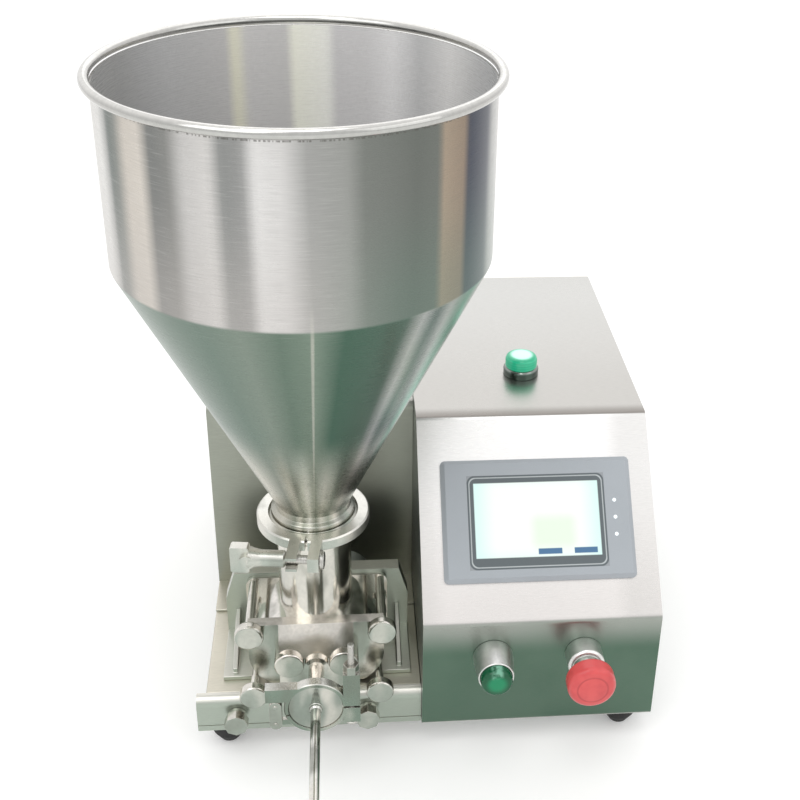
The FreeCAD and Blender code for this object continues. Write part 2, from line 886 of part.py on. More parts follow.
def rounded_plate(label, wide, high, thick, corner, low=ZERO):
    body = new_body(label)
    sketch = new_sketch(body, "XY_Plane", low)
    draw_box(sketch, ZERO, wide, ZERO, high)
    pad(body, sketch, thick)
    if corner is not None:
        round_edges(body, corner, lambda b: b.ZLength > as_size(thick).number / 2)
    return body


def build_screen():
    glass_wide = s.bezel_wide - s.glass_left - s.glass_right
    glass_high = s.bezel_high - s.glass_up - s.glass_top
    bezel = rounded_plate("hmi_bezel", s.bezel_wide, s.bezel_high, s.bezel_thick, s.bezel_corner)
    top = s.bezel_thick
    bevel_edges(bezel, s.bezel_bevel, lambda b: same(b.ZMin, top))
    recess = new_sketch(bezel, "XY_Plane", s.bezel_thick - s.glass_thick)
    draw_box(recess, s.glass_left, s.glass_left + glass_wide, s.glass_up, s.glass_up + glass_high)
    pocket(bezel, recess, s.glass_thick)
    lights = new_sketch(bezel, "XY_Plane", s.bezel_thick - s.glass_thick)
    for step in range(3):
        up = s.light_up + s.light_pitch * step
        draw_circle(lights, s.bezel_wide - s.light_right, up, s.light_radius)
    pocket(bezel, lights, s.glass_thick)
    slope_placed(bezel, s.bezel_left, s.bezel_up)

    glass = rounded_plate("hmi_screen", glass_wide, glass_high, s.glass_thick, None)
    slope_placed(glass, s.bezel_left + s.glass_left, s.bezel_up + s.glass_up, s.bezel_thick - s.glass_thick)
    finished(glass, "hmi_screen")

    back = rounded_plate("hmi_body", s.bezel_wide - s.screen_body_border * 2 - s.gap * 2,
                         s.bezel_high - s.screen_body_border * 2 - s.gap * 2, s.screen_body_deep, None)
    slope_placed(back, s.bezel_left + s.screen_body_border + s.gap,
                 s.bezel_up + s.screen_body_border + s.gap, -s.screen_body_deep)
    finished(fuse("hmi_bezel", [bezel, back]), "hmi_bezel")

    lamps = []
    for step in range(3):
        lamp = scratch("Part::Cylinder", "status_light")
        bind(lamp, "Radius", s.light_radius)
        bind(lamp, "Height", s.glass_thick)
        up = s.bezel_up + s.light_up + s.light_pitch * step
        slope_placed(lamp, s.bezel_left + s.bezel_wide - s.light_right, up, s.bezel_thick - s.glass_thick)
        lamps.append(lamp)
    group("hmi_leds", lamps)


def front_place(left):
    """A place on the cabinet's upright front, for pieces turned about the Y axis."""
    return (s.cabinet_left + left, -s.cabinet_front, s.button_z)


def build_start_button():
    at = front_place(s.button_left)
    floor = -s.button_floor_out
    inside = s.sheet + s.barrel_deep
    bore = s.button_cap_radius + s.run_gap
    stem = s.button_stem_radius
    finished(turned("start_button_collar", [
        (stem + s.gap, inside),
        (s.hole_radius, inside),
        (s.hole_radius, ZERO),
        (s.button_collar_radius, ZERO),
        (s.button_collar_radius, -s.button_collar_base),
        (s.button_collar_radius - s.collar_taper, -s.button_collar_out),
        (bore, -s.button_collar_out),
        (bore, floor),
        (stem + s.gap, floor),
    ], "y", at), "start_button_collar")
    back = floor - s.button_travel - s.gap * 2
    cap_round = s.button_cap_round
    finished(turned("start_button_cap", [
        (ZERO, -s.button_out),
        (s.button_cap_radius - cap_round * 2, -s.button_out),
        (s.button_cap_radius - cap_round / 2, -s.button_out + cap_round / 2),
        (s.button_cap_radius, -s.button_out + cap_round * 2),
        (s.button_cap_radius, back),
        (stem, back),
        (stem, s.sheet),
        (ZERO, s.sheet),
    ], "y", at), "start_button_cap")


def build_contact_blocks():
    """The contact blocks behind the two panel holes."""
    start = s.sheet + s.barrel_deep
    blocks = []
    for left in (s.button_left, s.stop_left):
        x, y, z = front_place(left)
        blocks.append(box("contact_block", x - s.switch_half, x + s.switch_half, y + start, y + s.switch_back,
                          z - s.switch_half, z + s.switch_half))
    group("contact_blocks", blocks)


def build_stop_button():
    at = front_place(s.stop_left)
    inside = s.sheet + s.barrel_deep
    neck = s.stop_neck_radius
    stem = s.stop_stem_radius
    floor = -s.stop_floor_out
    finished(turned("estop_collar", [
        (stem + s.gap, inside),
        (s.hole_radius, inside),
        (s.hole_radius, ZERO),
        (s.stop_collar_radius, ZERO),
        (s.stop_collar_radius, -s.stop_collar_out + s.collar_taper),
        (s.stop_collar_radius - s.collar_taper, -s.stop_collar_out),
        (neck + s.run_gap, -s.stop_collar_out),
        (neck + s.run_gap, floor),
        (stem + s.gap, floor),
    ], "y", at), "estop_collar")
    back = floor - s.stop_travel - s.gap * 2
    head_back = -s.stop_head_out + s.stop_head_deep
    finished(turned("estop_plunger", [
        (ZERO, head_back - s.stop_stem_in_head),
        (stem, head_back - s.stop_stem_in_head),
        (stem, head_back + s.gap),
        (neck, head_back + s.gap),
        (neck, back),
        (stem, back),
        (stem, s.sheet),
        (ZERO, s.sheet),
    ], "y", at), "estop_plunger")
    head = s.stop_head_radius
    blind = head_back - s.stop_stem_in_head - s.gap
    finished(turned("estop_head", [
        (ZERO, -s.stop_head_out),
        (head - s.stop_head_round * 3, -s.stop_head_out),
        (head - s.stop_head_round, -s.stop_head_out + s.stop_head_round / 2),
        (head, -s.stop_head_out + s.stop_head_round * 2),
        (head, head_back + -s.stop_head_rim),
        (s.stop_head_back_radius, head_back),
        (stem + s.run_gap, head_back),
        (stem + s.run_gap, blind),
        (ZERO, blind),
    ], "y", at), "estop_head")


def build_pilot_lamp():
    at = (s.cabinet_left + s.lamp_left, s.lamp_y, s.cabinet_top_z)
    low = -s.sheet - s.lamp_barrel
    finished(turned("pilot_lamp_base", [
        (ZERO, low),
        (s.hole_radius, low),
        (s.hole_radius, ZERO),
        (s.lamp_collar_radius, ZERO),
        (s.lamp_collar_radius, s.lamp_collar_high - s.collar_taper),
        (s.lamp_collar_radius - s.collar_taper, s.lamp_collar_high),
        (ZERO, s.lamp_collar_high),
    ], "z", at), "pilot_lamp_base")
    finished(turned("pilot_lamp_lens", [
        (ZERO, s.lamp_collar_high),
        (s.lamp_lens_radius, s.lamp_collar_high),
        (s.lamp_lens_radius, s.lamp_high - s.lamp_round),
        (s.lamp_lens_radius - s.lamp_round / 4, s.lamp_high - s.lamp_round / 3),
        (s.lamp_lens_radius - s.lamp_round, s.lamp_high),
        (ZERO, s.lamp_high),
    ], "z", at), "pilot_lamp_lens")


def build_power_inlet():
    x = s.cabinet_left + s.inlet_left
    z = s.inlet_z
    face = s.cabinet_back + s.panel_thick
    wide, high, lip = s.inlet_wide / 2, s.inlet_high / 2, s.inlet_lip
    flange = box("inlet_flange", x - wide, x + wide, face, face + lip, z - high, z + high)
    body = box("inlet_body", x - wide + lip + s.gap, x + wide - lip - s.gap, face - s.inlet_deep, face + lip,
               z - high + lip + s.gap, z + high - lip - s.gap)
    socket_x = x - s.socket_off
    socket = box("inlet_socket", socket_x - s.socket_wide / 2, socket_x + s.socket_wide / 2,
                 face + lip - s.socket_deep, face + lip + s.overrun,
                 z - s.socket_high / 2, z + s.socket_high / 2)
    rocker_x = x + s.rocker_off
    room = box("rocker_room", rocker_x - s.rocker_wide / 2 - s.gap, rocker_x + s.rocker_wide / 2 + s.gap,
               face + lip - s.rocker_room_deep, face + lip + s.overrun,
               z - s.rocker_high / 2 - s.gap * 3, z + s.rocker_high / 2 + s.gap * 3)
    hollowed = cut("inlet_frame", fuse("inlet_solid", [flange, body]), [socket, room])
    pins = []
    for step in (-1, 0, 1):
        drop = s.pin_drop * (1 - abs(step))
        pins.append(rod("inlet_pin", "y", s.pin_radius, face - s.socket_deep, face - lip,
                        socket_x + s.pin_apart * step, z + s.pin_drop / 2 - drop))
    finished(fuse("power_inlet", [hollowed] + pins), "power_inlet")
    rocker = new_body("power_rocker")
    sketch = new_sketch(rocker, "YZ_Plane", -s.rocker_wide / 2)
    half = s.rocker_high / 2
    draw_outline(sketch, [
        (-s.rocker_back, -half / 2),
        (s.rocker_out, -half),
        (s.rocker_dip, ZERO),
        (s.rocker_out, half),
        (-s.rocker_back, half / 2),
    ])
    pad(rocker, sketch, s.rocker_wide)
    tilt = FreeCAD.Rotation(FreeCAD.Vector(1, 0, 0), ROCKER_TILT_DEGREES)
    rocker.Placement = FreeCAD.Placement(FreeCAD.Vector(0, 0, 0), tilt)
    place(rocker, rocker_x, face + lip, z)
    finished(rocker, "power_rocker")


def build_inside_cabinet():
    left, back = s.cabinet_left + s.inside_margin, s.cabinet_back - s.inside_margin * 2
    low = s.foot_high + s.sheet
    supply = box("supply", left, left + s.supply_wide, back - s.supply_long, back, low + s.supply_lift,
                 low + s.supply_lift + s.supply_high)
    feet = [
        box("supply_rail", left, left + s.supply_wide, back - s.supply_long + s.supply_lift * step,
            back - s.supply_long + s.supply_lift * (step + 1), low, low + s.supply_lift)
        for step in (0, 4)
    ]
    supply_unit = fuse("power_supply", [supply] + feet)
    right = CABINET_RIGHT - s.inside_margin
    board = box("driver", right - s.driver_wide, right, back - s.driver_long, back, low, low + s.driver_high)
    slots = []
    for step in range(5):
        along = back - s.driver_long + s.vent_pitch * (step + 2)
        slots.append(box("driver_fin_gap", right - s.driver_wide - s.overrun, right - s.driver_wide + s.overrun,
                         along, along + s.vent_high, low + s.overrun, low + s.driver_high + s.overrun))
    group("drive_electronics", [supply_unit, cut("motor_driver", board, slots)])


# Hopper and its clamp

def ferrule(face, away):
    """Outer points of a clamp flange; away is +1 where its tube goes up and -1 down."""
    return [
        (s.ferrule_radius, face),
        (s.ferrule_radius, face + s.ferrule_edge * away),
        (s.ferrule_neck_radius, face + (s.ferrule_edge + s.ferrule_taper) * away),
        (s.ferrule_neck_radius, face + (s.ferrule_rise - s.ferrule_blend) * away),
        (s.ferrule_neck_radius - s.ferrule_blend, face + s.ferrule_rise * away),
        (s.tube_radius, face + (s.ferrule_rise + s.ferrule_blend) * away),
    ]


def build_hopper():
    body = new_body("hopper")
    bead_z = s.rim_top_z - s.bead_radius
    tube_inner = s.tube_radius - s.tube_wall
    outer = ferrule(JOINT_HIGH, 1) + [
        (s.tube_radius, s.cone_low_z),
        (s.hopper_radius, s.cone_top_z),
        (s.hopper_radius, bead_z),
    ]
    inner = [
        (s.hopper_radius - s.hopper_wall, bead_z),
        (s.hopper_radius - s.hopper_wall, s.cone_top_z),
        (tube_inner, s.cone_low_z + s.tube_wall),
        (tube_inner, JOINT_HIGH),
    ]
    revolve(body, outer + inner, "z")
    bead = new_sketch(body, "XZ_Plane")
    draw_circle(bead, s.hopper_radius + s.bead_radius - s.hopper_wall / 2, bead_z, s.bead_radius)
    revolve_sketch(body, bead, "V_Axis")
    finished(body, "hopper")
    finished(turned("hopper_gasket", [
        (tube_inner, JOINT_LOW),
        (s.ferrule_radius - s.ferrule_edge, JOINT_LOW),
        (s.ferrule_radius - s.ferrule_edge, JOINT_HIGH),
        (tube_inner, JOINT_HIGH),
    ]), "hopper_gasket")


def clamp_section(radius, half_high, ferrule_radius, slope, lip, bevel, stack):
    """Ring section of a two-piece clamp: a channel over two tapered flanges."""
    inner = ferrule_radius - lip
    groove = ferrule_radius + s.gap
    low = stack + s.run_gap
    at_lip = low + slope * lip
    return [
        (inner, at_lip),
        (inner, half_high),
        (radius - bevel, half_high),
        (radius, half_high - bevel),
        (radius, -half_high + bevel),
        (radius - bevel, -half_high),
        (inner, -half_high),
        (inner, -at_lip),
        (groove, -low),
        (groove, low),
    ]


def about_z(thing, degrees):
    """Turns a finished piece about the hopper's centre line."""
    turn = FreeCAD.Placement(FreeCAD.Vector(0, 0, 0), FreeCAD.Rotation(FreeCAD.Vector(0, 0, 1), degrees))
    thing.Placement = turn
    return thing


def build_hopper_clamp():
    slope = s.ferrule_taper / (s.ferrule_radius - s.ferrule_neck_radius)
    stack = s.gasket_thick / 2 + s.ferrule_edge
    section = clamp_section(s.clamp_radius, s.clamp_half_high, s.ferrule_radius, slope,
                            s.clamp_lip, s.clamp_chamfer, stack)
    bolt_y = -s.clamp_radius - s.bolt_out
    knuckle_y = s.clamp_radius + s.knuckle_radius / 2
    for side, name in ((1, "right"), (-1, "left")):
        label = "hopper_clamp_half_" + name
        body = new_body(label)
        revolve(body, section, "z", CLAMP_HALF_DEGREES)
        place(body, ZERO, ZERO, s.clamp_z)
        body.Placement.Rotation = FreeCAD.Rotation(FreeCAD.Vector(0, 0, 1), 90 - 90 * side)
        x0 = s.lug_inner if side > 0 else -s.lug_inner - s.lug_thick
        lug = box(label + "_lug", x0, x0 + s.lug_thick, -s.clamp_radius - s.lug_reach,
                  -s.ferrule_radius - s.lug_root, s.clamp_z - s.lug_high / 2, s.clamp_z + s.lug_high / 2)
        low = s.clamp_z - s.clamp_half_high if side > 0 else s.clamp_z + s.run_gap
        high = s.clamp_z - s.run_gap if side > 0 else s.clamp_z + s.clamp_half_high
        knuckle = rod(label + "_knuckle", "z", s.knuckle_radius, low, high, ZERO, knuckle_y)
        hole = rod(label + "_bolt_hole", "x", s.bolt_radius + s.gap, x0 - s.overrun,
                   x0 + s.lug_thick + s.overrun, bolt_y, s.clamp_z)
        pin_hole = rod(label + "_pin_hole", "z", s.hinge_pin_radius + s.run_gap, s.clamp_z - s.clamp_half_high * 2,
                       s.clamp_z + s.clamp_half_high * 2, ZERO, knuckle_y)
        relief = box(label + "_relief", -s.knuckle_radius - s.gap, s.knuckle_radius + s.gap,
                     knuckle_y - s.knuckle_radius - s.gap, knuckle_y + s.knuckle_radius + s.gap,
                     s.clamp_z - s.run_gap if side > 0 else s.clamp_z - s.clamp_half_high * 2,
                     s.clamp_z + s.clamp_half_high * 2 if side > 0 else s.clamp_z + s.run_gap)
        ring = cut(label + "_ring", body, [relief])
        whole = fuse(label + "_whole", [ring, lug, knuckle])
        if side > 0:
            half = cut(label, whole, [hole, pin_hole])
        else:
            pin = rod("hinge_pin", "z", s.hinge_pin_radius, s.clamp_z - s.clamp_half_high - s.gap,
                      s.clamp_z + s.clamp_half_high, ZERO, knuckle_y)
            slot = box(label + "_slot", x0 - s.overrun, x0 + s.lug_thick + s.overrun,
                       -s.clamp_radius - s.lug_reach - s.overrun, bolt_y,
                       s.clamp_z - s.bolt_radius - s.gap, s.clamp_z + s.bolt_radius + s.gap)
            half = fuse(label, [cut(label + "_drilled", whole, [hole, slot]), pin])
        finished(about_z(half, CLAMP_TURN_DEGREES), label)
    nut_face = -s.lug_inner - s.lug_thick - s.gap
    bolt_end = s.lug_inner + s.lug_thick + s.gap / 2
    shank = rod("clamp_bolt_shank", "x", s.bolt_radius, nut_face - s.wing_hub_long + s.overrun, bolt_end,
                bolt_y, s.clamp_z)
    head = rod("clamp_bolt_head", "x", s.bolt_radius * 2, bolt_end, bolt_end + s.bolt_radius, bolt_y, s.clamp_z)
    finished(about_z(fuse("hopper_clamp_bolt", [shank, head]), CLAMP_TURN_DEGREES), "hopper_clamp_bolt")
    build_wing_nut(nut_face, bolt_y)


def build_wing_nut(face, bolt_y):
    """A long hub that flares into two broad wings with a round boss across them."""
    body = new_body("hopper_clamp_wing_nut")
    bore_end = face - s.wing_hub_long
    end = bore_end - s.wing_thick
    bore = s.bolt_radius + s.run_gap
    revolve(body, [
        (face, bore),
        (face, s.wing_hub_radius - s.wing_flange),
        (face - s.wing_flange, s.wing_hub_radius),
        (bore_end + s.wing_flare, s.wing_hub_radius),
        (bore_end, s.wing_flare_radius),
        (bore_end - s.wing_boss_radius, s.wing_plate_half),
        (bore_end - s.wing_boss_radius, ZERO),
        (bore_end, ZERO),
        (bore_end, bore),
    ], "x")
    place(body, ZERO, bolt_y, s.clamp_z)
    plate = new_body("wing_plate")
    sketch = new_sketch(plate, "YZ_Plane", end)
    draw_box(sketch, -s.wing_plate_half, s.wing_plate_half, -s.wing_reach, s.wing_reach)
    pad(plate, sketch, s.wing_thick)
    bevel_edges(plate, s.clamp_chamfer, lambda b: b.YLength > s.wing_plate_half.number)
    place(plate, ZERO, bolt_y, s.clamp_z)
    boss = rod("wing_boss", "y", s.wing_boss_radius, bolt_y - s.wing_boss_reach, bolt_y + s.wing_boss_reach,
               bore_end - s.wing_flange, s.clamp_z)
    finished(about_z(fuse("hopper_clamp_wing_nut", [body, plate, boss]), CLAMP_TURN_DEGREES),
             "hopper_clamp_wing_nut")


def draw_stadium_upright(sketch, half_apart, radius):
    """Two half circles one over the other, joined by straight sides."""
    c, r = as_size(half_apart).number, as_size(radius).number
    up = FreeCAD.Vector(0, 0, 1)
    top = Part.Circle(FreeCAD.Vector(0, c, 0), up, r)
    low = Part.Circle(FreeCAD.Vector(0, -c, 0), up, r)
    first = sketch.addGeometry(Part.ArcOfCircle(top, 0, math.pi))
    sketch.addGeometry(Part.LineSegment(FreeCAD.Vector(-r, c, 0), FreeCAD.Vector(-r, -c, 0)))
    sketch.addGeometry(Part.ArcOfCircle(low, math.pi, 2 * math.pi))
    sketch.addGeometry(Part.LineSegment(FreeCAD.Vector(r, -c, 0), FreeCAD.Vector(r, c, 0)))
    for step in range(4):
        rule = Sketcher.Constraint("Tangent", first + step, 2, first + (step + 1) % 4, 1)
        sketch.addConstraint(rule)
    pin_point(sketch, first, 3, ZERO, half_apart)
    pin_point(sketch, first + 2, 3, ZERO, -as_size(half_apart))
    number = sketch.addConstraint(Sketcher.Constraint("Radius", first, r))
    sketch.renameConstraint(number, "r%d" % number)
    sketch.setExpression("Constraints.r%d" % number, as_size(radius).text)


# Pump

def build_pump_body():
    body = new_body("pump_body")
    z = s.pump_z
    front = -s.casing_front
    sketch = new_sketch(body, "XZ_Plane", front)
    draw_stadium(sketch, s.shaft_half_apart, z, s.casing_radius)
    pad(body, sketch, s.casing_front + s.casing_back)
    flange = new_sketch(body, "XZ_Plane", s.casing_back)
    draw_box(flange, -s.flange_half_wide, s.flange_half_wide, FRAME_LOW + s.gap, z + s.flange_half_high)
    pad(body, flange, s.flange_thick)
    round_edges(body, s.flange_corner, lambda b: same(b.YMin, s.casing_back) and same(b.YMax, CASING_REAR)
                and b.XLength < s.run_gap.number)
    for side in (-1, 1):
        holes = new_sketch(body, "XZ_Plane", s.casing_back)
        draw_circle(holes, s.stud_half_apart * side, z + s.stud_rise, s.stud_radius)
        draw_circle(holes, s.low_stud_apart * side, z - s.low_knob_drop, s.low_stem_radius)
        pocket(body, holes, s.flange_thick)
    neck = new_sketch(body, "XZ_Plane")
    low = CASING_TOP - s.neck_sink
    bore = s.tube_radius - s.tube_wall
    draw_outline(neck, [(bore, low), (s.tube_radius, low)] + list(reversed(ferrule(JOINT_LOW, -1)))
                 + [(bore, JOINT_LOW)])
    revolve_sketch(body, neck, "V_Axis")
    chamber = new_sketch(body, "XZ_Plane", front)
    draw_stadium(chamber, s.shaft_half_apart, z, CHAMBER_RADIUS)
    pocket(body, chamber, s.chamber_depth)
    groove = new_sketch(body, "XZ_Plane", front)
    draw_stadium(groove, s.shaft_half_apart, z, CHAMBER_RADIUS + s.oring_in + s.oring_section)
    draw_stadium(groove, s.shaft_half_apart, z, CHAMBER_RADIUS + s.oring_in)
    pocket(body, groove, s.oring_section)
    overhang = new_sketch(body, "XZ_Plane", front - s.overrun * 2)
    draw_box(overhang, -s.casing_radius - s.shaft_half_apart, s.casing_radius + s.shaft_half_apart,
             z, CASING_TOP)
    pocket(body, overhang, s.overrun * 2)
    port = new_sketch(body, "XY_Plane", z)
    draw_circle(port, ZERO, ZERO, s.inlet_port_radius)
    pocket(body, port, s.casing_radius + s.overrun)
    for x in (DRIVE_X, DRIVEN_X):
        hole = new_sketch(body, "XZ_Plane", CHAMBER_BACK - s.overrun)
        draw_circle(hole, x, z, s.shaft_radius + s.gap)
        pocket(body, hole, s.overrun * 4)
        seat = new_sketch(body, "XZ_Plane", CASING_REAR - s.seal_thick)
        draw_circle(seat, x, z, s.seal_radius)
        pocket(body, seat, s.seal_thick)
    finished(body, "pump_body")

    ring = new_body("cover_seal")
    sketch = new_sketch(ring, "XZ_Plane", front)
    draw_stadium(sketch, s.shaft_half_apart, z, CHAMBER_RADIUS + s.oring_in + s.oring_section)
    draw_stadium(sketch, s.shaft_half_apart, z, CHAMBER_RADIUS + s.oring_in)
    pad(ring, sketch, s.oring_section)
    finished(ring, "cover_seal")


def build_cover():
    body = new_body("pump_cover")
    z = s.pump_z
    sketch = new_sketch(body, "XZ_Plane", -COVER_OUT)
    wide = s.cover_half_wide
    draw_stadium(sketch, s.shaft_half_apart, z, wide - s.shaft_half_apart)
    pad(body, sketch, s.cover_thick)
    upper = new_sketch(body, "XZ_Plane", -COVER_OUT)
    draw_box(upper, -wide, wide, z, z + s.cover_top)
    pad(body, upper, s.cover_thick)
    block = new_sketch(body, "YZ_Plane", -s.block_half_wide)
    draw_outline(block, [
        (-COVER_OUT, z + s.cover_top), (-BLOCK_OUT, z + s.cover_top - s.block_slope_drop),
        (-BLOCK_OUT, z - s.block_low), (-COVER_OUT, z - s.block_low),
    ])
    pad(body, block, s.block_half_wide * 2)
    caps = new_sketch(body, "XZ_Plane", -COVER_OUT - s.cap_out)
    for side in (-1, 1):
        draw_circle(caps, s.cap_apart * side, z, s.cap_radius)
    pad(body, caps, s.cap_out)
    tip = -COVER_OUT - s.cap_out
    round_edges(body, s.cap_round, lambda b: same(b.YMax, tip))
    entry = new_sketch(body, "XZ_Plane", -s.casing_front - s.duct_deep)
    draw_circle(entry, ZERO, z - s.duct_drop, s.outlet_bore)
    pocket(body, entry, s.duct_deep)
    exit_hole = new_sketch(body, "XZ_Plane", -BLOCK_OUT - s.overrun)
    draw_circle(exit_hole, ZERO, z, s.outlet_bore)
    pocket(body, exit_hole, BLOCK_OUT + s.overrun - s.casing_front - s.duct_deep + s.outlet_bore * 2)
    riser = new_sketch(body, "XY_Plane", z - s.duct_drop)
    draw_circle(riser, ZERO, -s.casing_front - s.duct_deep + s.outlet_bore, s.outlet_bore + s.gap)
    pocket(body, riser, s.duct_drop)
    slots = [
        box("cover_trim", -wide, wide, -COVER_OUT - s.overrun, -s.casing_front + s.overrun, low, low + wide)
        for low in (z + s.cover_top, z - s.cover_bottom - wide)
    ]
    for side in (-1, 1):
        near = s.stud_half_apart * side
        far = near + s.overrun * 2 * side
        slots.append(rod("stud_slot", "y", s.stud_radius + s.gap, -BLOCK_OUT, ZERO, near, z + s.stud_rise))
        x0, x1 = (near, far) if side > 0 else (far, near)
        slots.append(box("stud_slot_mouth", x0, x1, -BLOCK_OUT, ZERO, z + s.stud_rise - s.stud_radius - s.gap,
                         z + s.stud_rise + s.stud_radius + s.gap))
    joined = fuse("pump_cover", [cut("cover_slotted", body, slots), outlet_spout()])
    joined.Refine = False
    finished(joined, "pump_cover")


def build_studs_and_knobs():
    z = s.pump_z
    rise = z + s.stud_rise
    low_z = z - s.low_knob_drop
    cover_face = -COVER_OUT
    studs = []
    low_studs = []
    for side, name in ((-1, "left"), (1, "right")):
        x = s.stud_half_apart * side
        tip = cover_face - s.knob_thick + s.knob_blind
        studs.append(rod("stud", "y", s.stud_radius, tip, CASING_REAR + s.stud_grip, x, rise))
        round_by = s.knob_round
        bore = s.stud_radius + s.run_gap
        finished(turned("knob_upper_" + name, [
            (bore, ZERO),
            (s.knob_radius - round_by, ZERO),
            (s.knob_radius, -round_by),
            (s.knob_radius, -s.knob_thick + round_by),
            (s.knob_radius - round_by, -s.knob_thick),
            (ZERO, -s.knob_thick),
            (ZERO, -s.knob_thick + s.knob_blind - s.gap),
            (bore, -s.knob_thick + s.knob_blind - s.gap),
        ], "y", (x, cover_face - s.gap, rise)), "knob_upper_" + name)
        low_x = s.low_stud_apart * side
        head = -s.low_knob_out
        low_studs.append(rod("low_stud", "y", s.low_stem_radius, head + s.knob_blind,
                             CASING_REAR + s.stud_grip, low_x, low_z))
        low_bore = s.low_stem_radius + s.run_gap
        neck_end = cover_face - s.gap
        finished(turned("knob_lower_" + name, [
            (low_bore, neck_end),
            (s.low_knob_neck, neck_end),
            (s.low_knob_neck, head + s.low_knob_thick + s.low_knob_cone),
            (s.low_knob_radius - round_by, head + s.low_knob_thick),
            (s.low_knob_radius, head + s.low_knob_thick - round_by),
            (s.low_knob_radius, head + round_by),
            (s.low_knob_radius - round_by, head),
            (ZERO, head),
            (ZERO, head + s.knob_blind - s.gap),
            (low_bore, head + s.knob_blind - s.gap),
        ], "y", (low_x, ZERO, low_z)), "knob_lower_" + name)
    group("cover_studs", studs + low_studs)


# Lobes: outside the pitch circle each flank is an epicycloid, inside it a hypocycloid
# rolled by the same small circle, so the two rotors stay conjugate at every angle.

def lobe_point(pitch, small, outside, roll):
    """Point and outward normal of the rolled curve at a roll angle of the small circle's centre."""
    if outside:
        reach, ratio, sign = pitch + small, (pitch + small) / small, -1
    else:
        reach, ratio, sign = pitch - small, -(pitch - small) / small, 1
    x = reach * math.cos(roll) + sign * small * math.cos(ratio * roll)
    y = reach * math.sin(roll) + sign * small * math.sin(ratio * roll)
    return x, y


def lobe_outline():
    """Closed list of curves round the rotor, each one a list of points about the shaft."""
    pitch = s.shaft_half_apart.number
    small = pitch / (2 * LOBES)
    span = math.pi / LOBES
    curves = []
    for turn in range(2 * LOBES):
        outside = turn % 2 == 0
        start = (turn - 0.5) * span
        raw = []
        for step in range(FLANK_POINTS):
            share = step / (FLANK_POINTS - 1)
            x, y = lobe_point(pitch, small, outside, share * span)
            c, d = math.cos(start), math.sin(start)
            raw.append((x * c - y * d, x * d + y * c))
        curves.append(raw)
    return curves


def moved_in(curves, amount):
    """The outline drawn in by a small amount, square to itself."""
    ring = [point for curve in curves for point in curve[:-1]]
    count = len(ring)
    shifted = []
    for step in range(count):
        x0, y0 = ring[step - 1]
        x1, y1 = ring[(step + 1) % count]
        long = math.hypot(x1 - x0, y1 - y0)
        x, y = ring[step]
        shifted.append((x - amount * (y1 - y0) / long, y + amount * (x1 - x0) / long))
    return shifted


def spline_ring(points, per_curve):
    """Smooth closed wire: one curve through each run of points."""
    count = len(points)
    edges = []
    for first in range(0, count, per_curve):
        run = [points[(first + step) % count] for step in range(per_curve + 1)]
        curve = Part.BSplineCurve()
        curve.interpolate([FreeCAD.Vector(x, 0, z) for x, z in run])
        edges.append(curve.toShape())
    return Part.Wire(edges)


def build_rotors():
    points = moved_in(lobe_outline(), s.lobe_clearance.number)
    front = -s.casing_front + s.rotor_end_gap
    long = s.chamber_depth - s.rotor_end_gap * 2
    for name, x in (("drive_rotor", DRIVE_X), ("driven_rotor", DRIVEN_X)):
        wire = spline_ring(points, FLANK_POINTS - 1)
        solid = Part.Face(wire).extrude(FreeCAD.Vector(0, long.number, 0))
        lobes = doc.addObject("Part::Feature", name + "_lobes")
        lobes.Shape = solid
        place(lobes, x, front, s.pump_z)
        bore = rod(name + "_bore", "y", s.shaft_radius, front, front + long, x, s.pump_z)
        seat = rod(name + "_seat", "y", s.rotor_nut_radius + s.gap, front - s.overrun,
                   front + s.rotor_nut_high + s.gap, x, s.pump_z)
        finished(cut(name, lobes, [bore, seat]), name)


def build_shafts():
    front = -s.casing_front + s.rotor_end_gap
    nut_back = front + s.rotor_nut_high + s.gap
    thread = s.shaft_radius - s.thread_step
    for name, x, end in (("drive", DRIVE_X, s.drive_shaft_end), ("driven", DRIVEN_X, CASE_REAR - s.gear_case_wall)):
        finished(turned(name + "_shaft", [
            (ZERO, front + s.gap),
            (thread, front + s.gap),
            (thread, nut_back),
            (s.shaft_radius, nut_back),
            (s.shaft_radius, end - s.gap * 4),
            (s.shaft_radius - s.gap * 3, end - s.gap),
            (ZERO, end - s.gap),
        ], "y", (x, ZERO, s.pump_z)), name + "_shaft")
        nut = doc.addObject("Part::Prism", name + "_rotor_nut_step")
        nut.Polygon = 6
        bind(nut, "Circumradius", s.rotor_nut_radius)
        bind(nut, "Height", s.rotor_nut_high)
        nut.Placement = FreeCAD.Placement(FreeCAD.Vector(0, 0, 0), AXIS_TURN["y"])
        place(nut, x, front, s.pump_z)
        hole = rod(name + "_nut_hole", "y", thread, front - s.overrun, nut_back + s.overrun, x, s.pump_z)
        finished(cut(name + "_rotor_nut", nut, [hole]), name + "_rotor_nut")

    def rings(radius, start, wide):
        return [turned("ring", [(s.shaft_radius + s.run_gap, ZERO), (radius, ZERO), (radius, wide),
                                (s.shaft_radius + s.run_gap, wide)], "y", (x, start, s.pump_z))
                for x in (DRIVE_X, DRIVEN_X)]

    group("shaft_seals", rings(s.seal_radius, CASING_REAR - s.seal_thick, s.seal_thick))
    group("shaft_bearings", rings(s.bearing_radius, FRAME_REAR - s.bearing_wide, s.bearing_wide))


